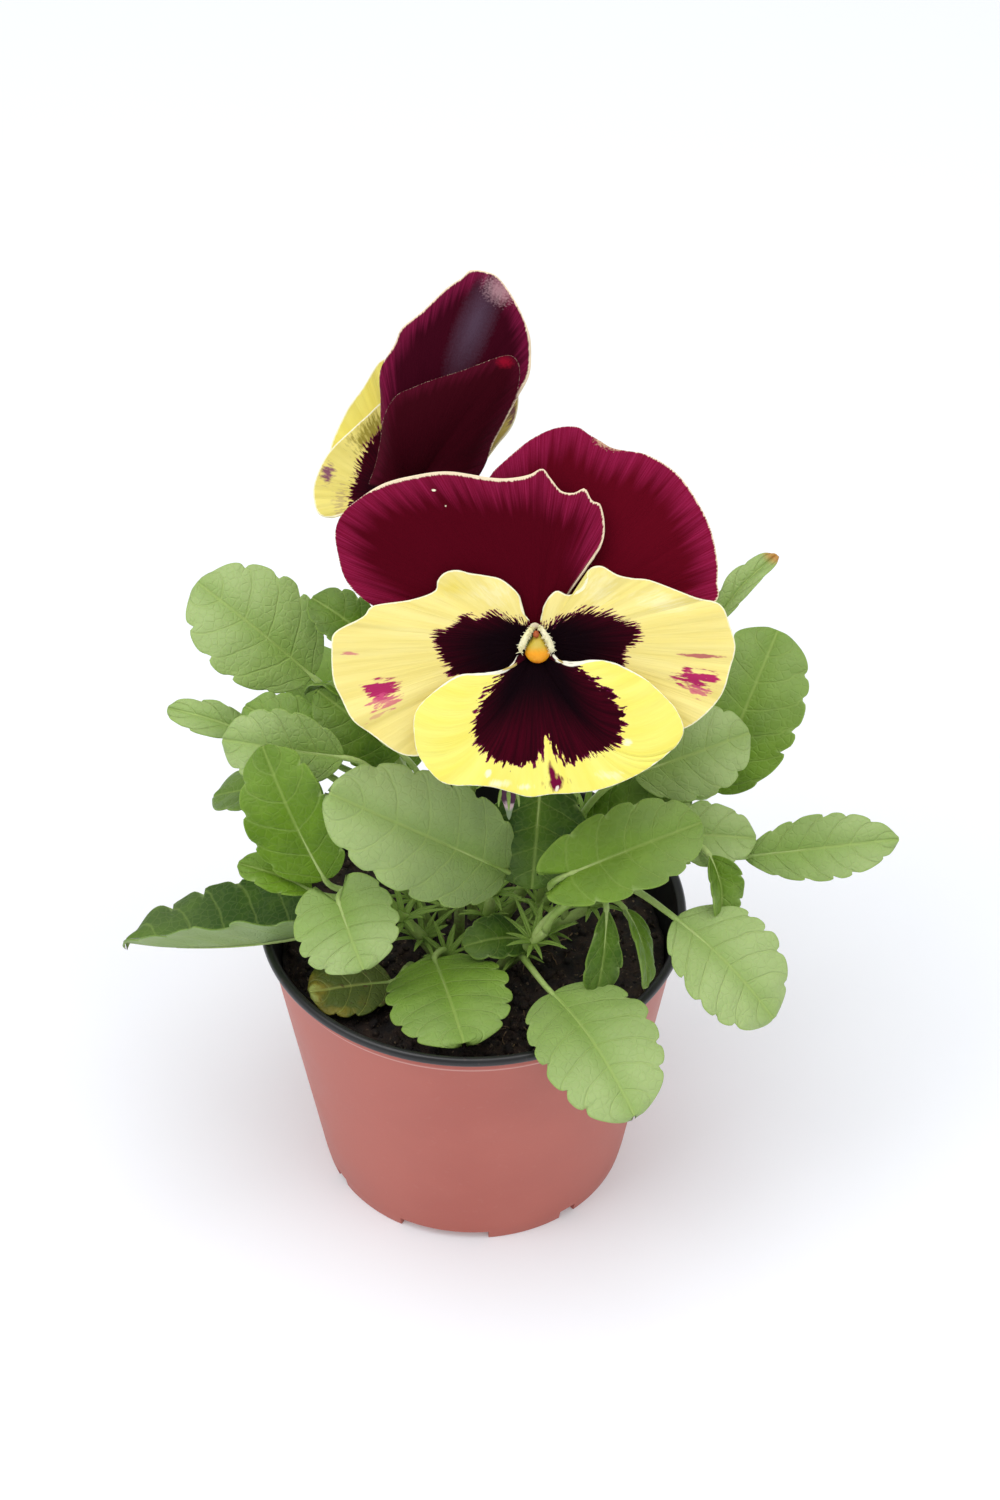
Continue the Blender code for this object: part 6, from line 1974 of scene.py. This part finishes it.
@dataclass
class Pot:
    """The thin pot: black rolled lip and inside, step under the lip, tapered wall, notched foot."""

    rim_radius: float = 45.0
    height: float = 68.0
    lip_height: float = 2.2
    lip_width: float = 2.0
    wall: float = 1.0
    wall_top: float = 43.3
    wall_foot: float = 33.7
    step_height: float = 63.6
    step_out: float = 0.7
    foot_height: float = 2.5
    foot_inset: float = 0.7
    foot_width: float = 1.3
    foot_rise: float = 0.9
    floor_thickness: float = 1.1
    drain_ring: float = 21.0
    drain_radius: float = 2.6
    drains: int = 6
    notches_deg: tuple[tuple[float, float], ...] = (
        (-102, 34), (-151, 7), (-53, 7), (78, 34), (29, 7), (127, 7),
    )

    SEGMENTS = 192
    CORNER_STEPS = 5
    NOTCH_STEPS = 9
    NOTCH_REACH = (-6.0, 3.0)
    OVERCUT = 1.0
    SHARP_DEG = 38

    def rounded(self, corners: list[tuple[float, float, float]]) -> np.ndarray:
        """A profile whose corners are rounded: each a quadratic curve between points r away.

        Args:
            corners: (radius, height, rounding) of each corner.

        Returns:
            (n, 2) points of the profile.
        """
        spots = np.array([c[:2] for c in corners], float)
        rows = [spots[:1]]
        t = np.linspace(0, 1, self.CORNER_STEPS)[:, None]
        for before, here, after, corner in zip(spots, spots[1:], spots[2:], corners[1:-1]):
            reach = corner[2]
            if reach <= 0:
                rows.append(here[None])
                continue
            a = here + unit(before - here) * min(reach, np.linalg.norm(before - here) * 0.49)
            b = here + unit(after - here) * min(reach, np.linalg.norm(after - here) * 0.49)
            rows.append((1 - t) ** 2 * a + 2 * (1 - t) * t * here + t**2 * b)
        rows.append(spots[-1:])
        return np.vstack(rows)

    def body(self) -> tuple[Shell, np.ndarray]:
        """The turned pot, not yet notched, with its red outside and its black lip and inside.

        Returns:
            The shell, and a mask of its quads that are black.
        """
        lip_low = self.height - self.lip_height
        lip_round = self.height - 0.7
        outer = self.wall_top + self.step_out
        foot = self.wall_foot - self.foot_inset
        ring = foot - self.foot_width
        inner = self.wall_foot - self.wall
        floor = self.foot_height + self.floor_thickness
        red = self.rounded([
            (0, self.foot_height, 0), (ring, self.foot_height, 0.3), (ring, 0, 0.2), (foot, 0, 0.3),
            (self.wall_foot, self.foot_height + self.foot_rise, 0.6),
            (self.wall_top, self.step_height, 0.4),
            (outer, self.step_height + self.step_out, 0.35), (outer, lip_low, 0),
        ])
        black = self.rounded([
            (outer, lip_low, 0.1), (self.rim_radius, lip_low + 0.3, 0.6), (self.rim_radius, lip_round, 0.9),
            (self.rim_radius - 0.8, self.height, 0.7), (self.rim_radius - self.lip_width, lip_round, 0.6),
            (self.wall_top - self.wall, self.step_height, 1), (inner, floor + self.foot_rise, 1.0),
            (inner - 1.2, floor, 1.0), (0, floor, 0),
        ])
        profile = np.vstack([red, black[1:]])
        ring_of_quad = np.repeat(np.arange(len(profile) - 3), self.SEGMENTS)
        return turned_shell(profile, self.SEGMENTS), ring_of_quad >= len(red) - 2

    def cutters(self) -> list[Shell]:
        """The blocks that the foot's notches and the drain holes are cut with.

        Returns:
            One closed shell for each notch and each hole.
        """
        shells = []
        near, far = (self.wall_foot + reach for reach in self.NOTCH_REACH)
        under, above = -self.OVERCUT, self.foot_height
        ends = [(near, under), (far, under), (far, above), (near, above)]
        last = 4 * (self.NOTCH_STEPS - 1)
        faces = np.vstack([ring_faces(self.NOTCH_STEPS, 4), [(3, 2, 1, 0), np.arange(last, last + 4)]])
        for middle, width in self.notches_deg:
            turn = np.radians(middle + np.linspace(-width / 2, width / 2, self.NOTCH_STEPS))
            rows = [np.stack([radius * np.cos(turn), radius * np.sin(turn), np.full(len(turn), height)], -1)
                    for radius, height in ends]
            shells.append(Shell(np.stack(rows, 1).reshape(-1, 3), faces).outward())
        low, high = self.foot_height - self.OVERCUT, self.foot_height + self.floor_thickness + self.OVERCUT
        for turn in turn_steps(self.drains):
            x, y = self.drain_ring * math.cos(turn), self.drain_ring * math.sin(turn)
            shells.append(tube_shell(np.array([(x, y, low), (x, y, high)]), self.drain_radius, 20))
        return shells

    def cut(self, pot: bpy.types.Object) -> None:
        """Take the notches and drain holes out of the pot with Boolean differences.

        Args:
            pot: The turned pot.
        """
        tools = []
        for shell in self.cutters():
            mesh = bpy.data.meshes.new("cutter")
            faces = shell.quads.tolist() + shell.tris.tolist()
            mesh.from_pydata(((shell.points + POT_AXIS) * MM).tolist(), [], faces)
            tools.append(add_object("cutter", mesh))
            step = pot.modifiers.new("cut", "BOOLEAN")
            step.operation, step.solver, step.object = "DIFFERENCE", "EXACT", tools[-1]
        bpy.context.view_layer.update()
        made = bpy.data.meshes.new_from_object(pot.evaluated_get(bpy.context.evaluated_depsgraph_get()))
        pot.modifiers.clear()
        pot.data = made
        made.name = pot.name
        for tool in tools:
            bpy.data.objects.remove(tool)

    def build(self) -> None:
        """Make the pot: turn it, colour it in two, cut the foot's notches and the drain holes."""
        shell, dark = self.body()
        terracotta = PotPlastic("terracotta_plastic", srgb(178, 88, 73), srgb(190, 104, 90), step_highlight_share=0.5)
        black = PotPlastic("black_plastic", srgb(26, 26, 28), srgb(34, 34, 36), 0.34)
        finishes = [terracotta.material(), black.material()]
        pot = make_piece("pot_dressed", [shell], finishes, "pot")
        faces = np.zeros(len(pot.data.polygons), np.int32)
        faces[: len(dark)] = dark
        faces[-self.SEGMENTS:] = 1
        pot.data.polygons.foreach_set("material_index", faces)
        self.cut(pot)
        pot.data.shade_smooth()
        pot.data.set_sharp_from_angle(angle=math.radians(self.SHARP_DEG))


@dataclass
class Peat:
    """The peat: a lumpy top on its plug, strewn with crumbs and fibres."""

    top: float = 56.8
    radius: float = 40.6
    low_radius: float = 31.2
    bottom: float = 3.9
    crumbs: int = 1300
    fibres: int = 70

    WAVES = ((14.0, 5, 0.5), (4.5, 9, 0.45), (1.9, 14, 0.3))
    SEGMENTS = 150
    RINGS = 52
    EDGE_DROP = 1.2
    LUMP_FACES = (
        (0, 11, 5), (0, 5, 1), (0, 1, 7), (0, 7, 10), (0, 10, 11), (1, 5, 9), (5, 11, 4), (11, 10, 2),
        (10, 7, 6), (7, 1, 8), (3, 9, 4), (3, 4, 2), (3, 2, 6), (3, 6, 8), (3, 8, 9), (4, 9, 5), (2, 4, 11),
        (6, 2, 10), (8, 6, 7), (9, 8, 1),
    )

    def height(self, x: np.ndarray, y: np.ndarray) -> np.ndarray:
        """The top's height: swells, lumps and grains as sums of waves of drawn directions.

        Args:
            x: Places to the right.
            y: Places to the back.

        Returns:
            Heights, shaped as x.
        """
        draw = np.random.default_rng(5)
        total = np.full(np.shape(x), self.top)
        for size, waves, high in self.WAVES:
            turn = draw.uniform(0, math.tau, waves)
            phase = draw.uniform(0, math.tau, waves)
            pace = math.tau / size * draw.uniform(0.7, 1.3, waves)
            wave = np.sin(pace * (x[..., None] * np.cos(turn) + y[..., None] * np.sin(turn)) + phase)
            total = total + high * wave.sum(-1) / math.sqrt(waves)
        return total

    def plug(self) -> Shell:
        """The body of the peat: rings of the top out to the wall, down it and across the floor.

        Returns:
            The plug.
        """
        turn = turn_steps(self.SEGMENTS)
        radii = self.radius * np.linspace(0.02, 1, self.RINGS)
        x, y = radii[:, None] * np.cos(turn), radii[:, None] * np.sin(turn)
        z = self.height(x, y) - self.EDGE_DROP * ease(radii, self.radius - 2.5, self.radius)[:, None]
        low = np.stack([self.low_radius * np.cos(turn), self.low_radius * np.sin(turn),
                        np.full(self.SEGMENTS, self.bottom)], -1)
        poles = [(0, 0, float(self.height(np.zeros(1), np.zeros(1))[0])), (0, 0, self.bottom)]
        return capped_rings(np.vstack([np.stack([x, y, z], -1), low[None]]), poles)

    def strewn_crumbs(self, draw: np.random.Generator) -> Shell:
        """Crumbs, each a squashed and turned twenty-faced lump.

        Args:
            draw: The random draws.

        Returns:
            One shell of all the crumbs.
        """
        g = (1 + math.sqrt(5)) / 2
        lump = unit(np.array([
            (-1, g, 0), (1, g, 0), (-1, -g, 0), (1, -g, 0), (0, -1, g), (0, 1, g), (0, -1, -g), (0, 1, -g),
            (g, 0, -1), (g, 0, 1), (-g, 0, -1), (-g, 0, 1),
        ], float))
        faces = np.array(self.LUMP_FACES)
        n = self.crumbs
        away = (self.radius - 1.2) * np.sqrt(draw.uniform(0, 1, n))
        turn = draw.uniform(0, math.tau, n)
        x, y = away * np.cos(turn), away * np.sin(turn)
        size = 0.35 + 0.9 * draw.uniform(0, 1, n) ** 3
        axes = np.linalg.qr(draw.normal(size=(n, 3, 3)))[0]
        squash = draw.uniform(0.6, 1.25, (n, 1, 3))
        rough = draw.uniform(0.8, 1.2, (n, len(lump), 1))
        local = np.einsum("nij,nkj->nki", axes, lump[None] * squash * rough) * size[:, None, None]
        middle = np.stack([x, y, self.height(x, y) + 0.25 * size], -1)
        tris = faces[None] + len(lump) * np.arange(n)[:, None, None]
        flipped = np.linalg.det(axes) < 0
        tris[flipped] = tris[flipped][:, :, ::-1]
        return Shell((local + middle[:, None]).reshape(-1, 3), np.zeros((0, 4), int), tris.reshape(-1, 3))

    def strewn_fibres(self, draw: np.random.Generator) -> list[Shell]:
        """Fibres that lie on the peat, each a thin bent tube.

        Args:
            draw: The random draws.

        Returns:
            A shell for each fibre.
        """
        shells = []
        for _ in range(self.fibres):
            away, turn = (self.radius - 4) * math.sqrt(draw.uniform()), draw.uniform(0, math.tau)
            start = np.array((away * math.cos(turn), away * math.sin(turn)))
            way = draw.uniform(0, math.tau) + np.linspace(0, draw.uniform(-1.4, 1.4), 9)
            flat = start + np.cumsum(np.stack([np.cos(way), np.sin(way)], -1), 0) * draw.uniform(0.3, 0.9)
            from_middle = np.maximum(np.linalg.norm(flat, axis=1), 1)
            flat *= np.minimum(1, (self.radius - 0.8) / from_middle)[:, None]
            high = self.height(flat[:, 0], flat[:, 1]) + 0.25 + 0.3 * np.sin(np.linspace(0, math.pi, 9))
            shells.append(tube_shell(np.column_stack([flat, high]), draw.uniform(0.08, 0.17), 5, slot=1))
        return shells

    def build(self) -> None:
        """Make the peat as one piece."""
        fibre = PlainFleshFinish("peat_fibre", srgb(96, 74, 54), srgb(150, 126, 98), 300.0, 0.9).material()
        draw = np.random.default_rng(8)
        shells = [self.plug(), self.strewn_crumbs(draw), *self.strewn_fibres(draw)]
        make_piece("peat_dressed", shells, [PeatFinish().material(), fibre], "soil")


@dataclass
class Studio:
    """Pale floor, soft white light and the camera at the photograph's angle."""

    camera_at: Point = (-7.48, -512.4, 554.0)
    camera_turn_deg: Point = (48.88, 0.0, -0.646)
    lens: float = 80.0
    daylight: Colour = (0.97, 0.985, 1.0)
    world_strength: float = 0.5
    floor_half: float = 4.0
    floor_colour: Colour = (0.795, 0.815, 0.855)
    floor_glow: float = 0.17

    AIM = (0.0, 0.0, 0.1)
    LAMPS = (("overhead", (0.05, -0.1, 1.5), 1.4, 12.5), ("key", (-0.9, -0.5, 1.3), 0.9, 7.5),
             ("fill", (1.1, -0.7, 0.9), 1.0, 3.0))

    def camera(self) -> None:
        """Place the camera and make it the scene's own."""
        data = bpy.data.cameras.new("camera")
        data.lens, data.sensor_width, data.sensor_fit = self.lens, 36.0, "AUTO"
        data.clip_start, data.clip_end = 0.01, 50.0
        camera = add_object("camera", data)
        camera.location = [c * MM for c in self.camera_at]
        camera.rotation_euler = [math.radians(a) for a in self.camera_turn_deg]
        bpy.context.scene.camera = camera

    def floor(self) -> None:
        """Lay the pale floor, which glows a little as thin white board over light does."""
        mesh = bpy.data.meshes.new("floor")
        half = self.floor_half
        corners = [(-half, -half, 0), (half, -half, 0), (half, half, 0), (-half, half, 0)]
        mesh.from_pydata(corners, [], [(0, 1, 2, 3)])
        paper = Coat("floor_paper", Roughness=0.9, Specular_IOR_Level=0.1, Base_Color=self.floor_colour,
                     Emission_Color=self.daylight, Emission_Strength=self.floor_glow)
        mesh.materials.append(paper.made)
        add_object("floor", mesh)

    def lamp(self, name: str, place: Point, size: float, power: float) -> None:
        """A square soft white light aimed at the plant's middle.

        Args:
            name: The light's name.
            place: Where it hangs, in metres.
            size: Its side, in metres.
            power: Its power, in watts.
        """
        data = bpy.data.lights.new(name, "AREA")
        data.energy, data.size = power, size
        light = add_object(name, data)
        light.location = place
        aim = np.array(self.AIM) - np.array(place)
        flat = math.hypot(aim[0], aim[1])
        light.rotation_euler = (math.atan2(flat, -aim[2]), 0.0, math.atan2(-aim[0], aim[1]))

    def build(self) -> None:
        """Set up the camera, the floor and the lights."""
        self.camera()
        self.floor()
        world = bpy.data.worlds.new("studio")
        world.use_nodes = True
        sky = world.node_tree.nodes["Background"]
        sky.inputs[0].default_value = (*self.daylight, 1.0)
        sky.inputs[1].default_value = self.world_strength
        bpy.context.scene.world = world
        bpy.context.scene.view_settings.view_transform = "Standard"
        for lamp in self.LAMPS:
            self.lamp(*lamp)


FLOWER_STALKS = [
    FlowerStalk("front_flower_stalk", (3, 4), [(8, 6, 90), (12, 6, 125), (12.4, 1, 140), (12.4, -7.4, 145)],
                96.0, 4.0, 10.0, spur=True, bracts_at=(0.6,)),
    FlowerStalk("rear_flower_stalk", (0, 8), [(-3, 12, 90), (-9, 13, 125), (-12.3, 13.5, 146),
                                              (-12.5, 16, 154.6)], 84.0, 4.8, 8.0, bracts_at=(0.6,)),
    FlowerStalk("bud_stalk", (-3, 1), [(-2, 3, 86), (2, -2, 112), (5, -9, 124), (7, -14.5, 125),
                                       (7.2, -16.5, 120.5)], 0.0, 1.6, 0.0, coarse_points=12, sepals=0),
]


def main() -> None:
    """Build every piece around the frame, in order."""
    logging.basicConfig(level=logging.INFO, format="%(message)s")
    Studio().build()
    log.info("studio: camera, floor and lights")
    Pot().build()
    Peat().build()
    leaf = LeafFinish().material()
    stem = StalkFinish("stem_green").material()
    for leafy in LEAFY_STEMS:
        leafy.build(leaf, stem)
    FADING_LEAF.build(FadingLeafFinish().material(), stem, "olive_leaf")
    FRONT_BLOOM.build()
    FrontEye(FRONT_BLOOM).build()
    REAR_BLOOM.build()
    RearEye(REAR_BLOOM).build()
    stalk = StalkFinish("stalk_green", flush_share=0.35).material()
    for flower_stalk in FLOWER_STALKS:
        flower_stalk.build(stalk, leaf)
    Bud().build(stalk)


if __name__ == "__main__":
    main()
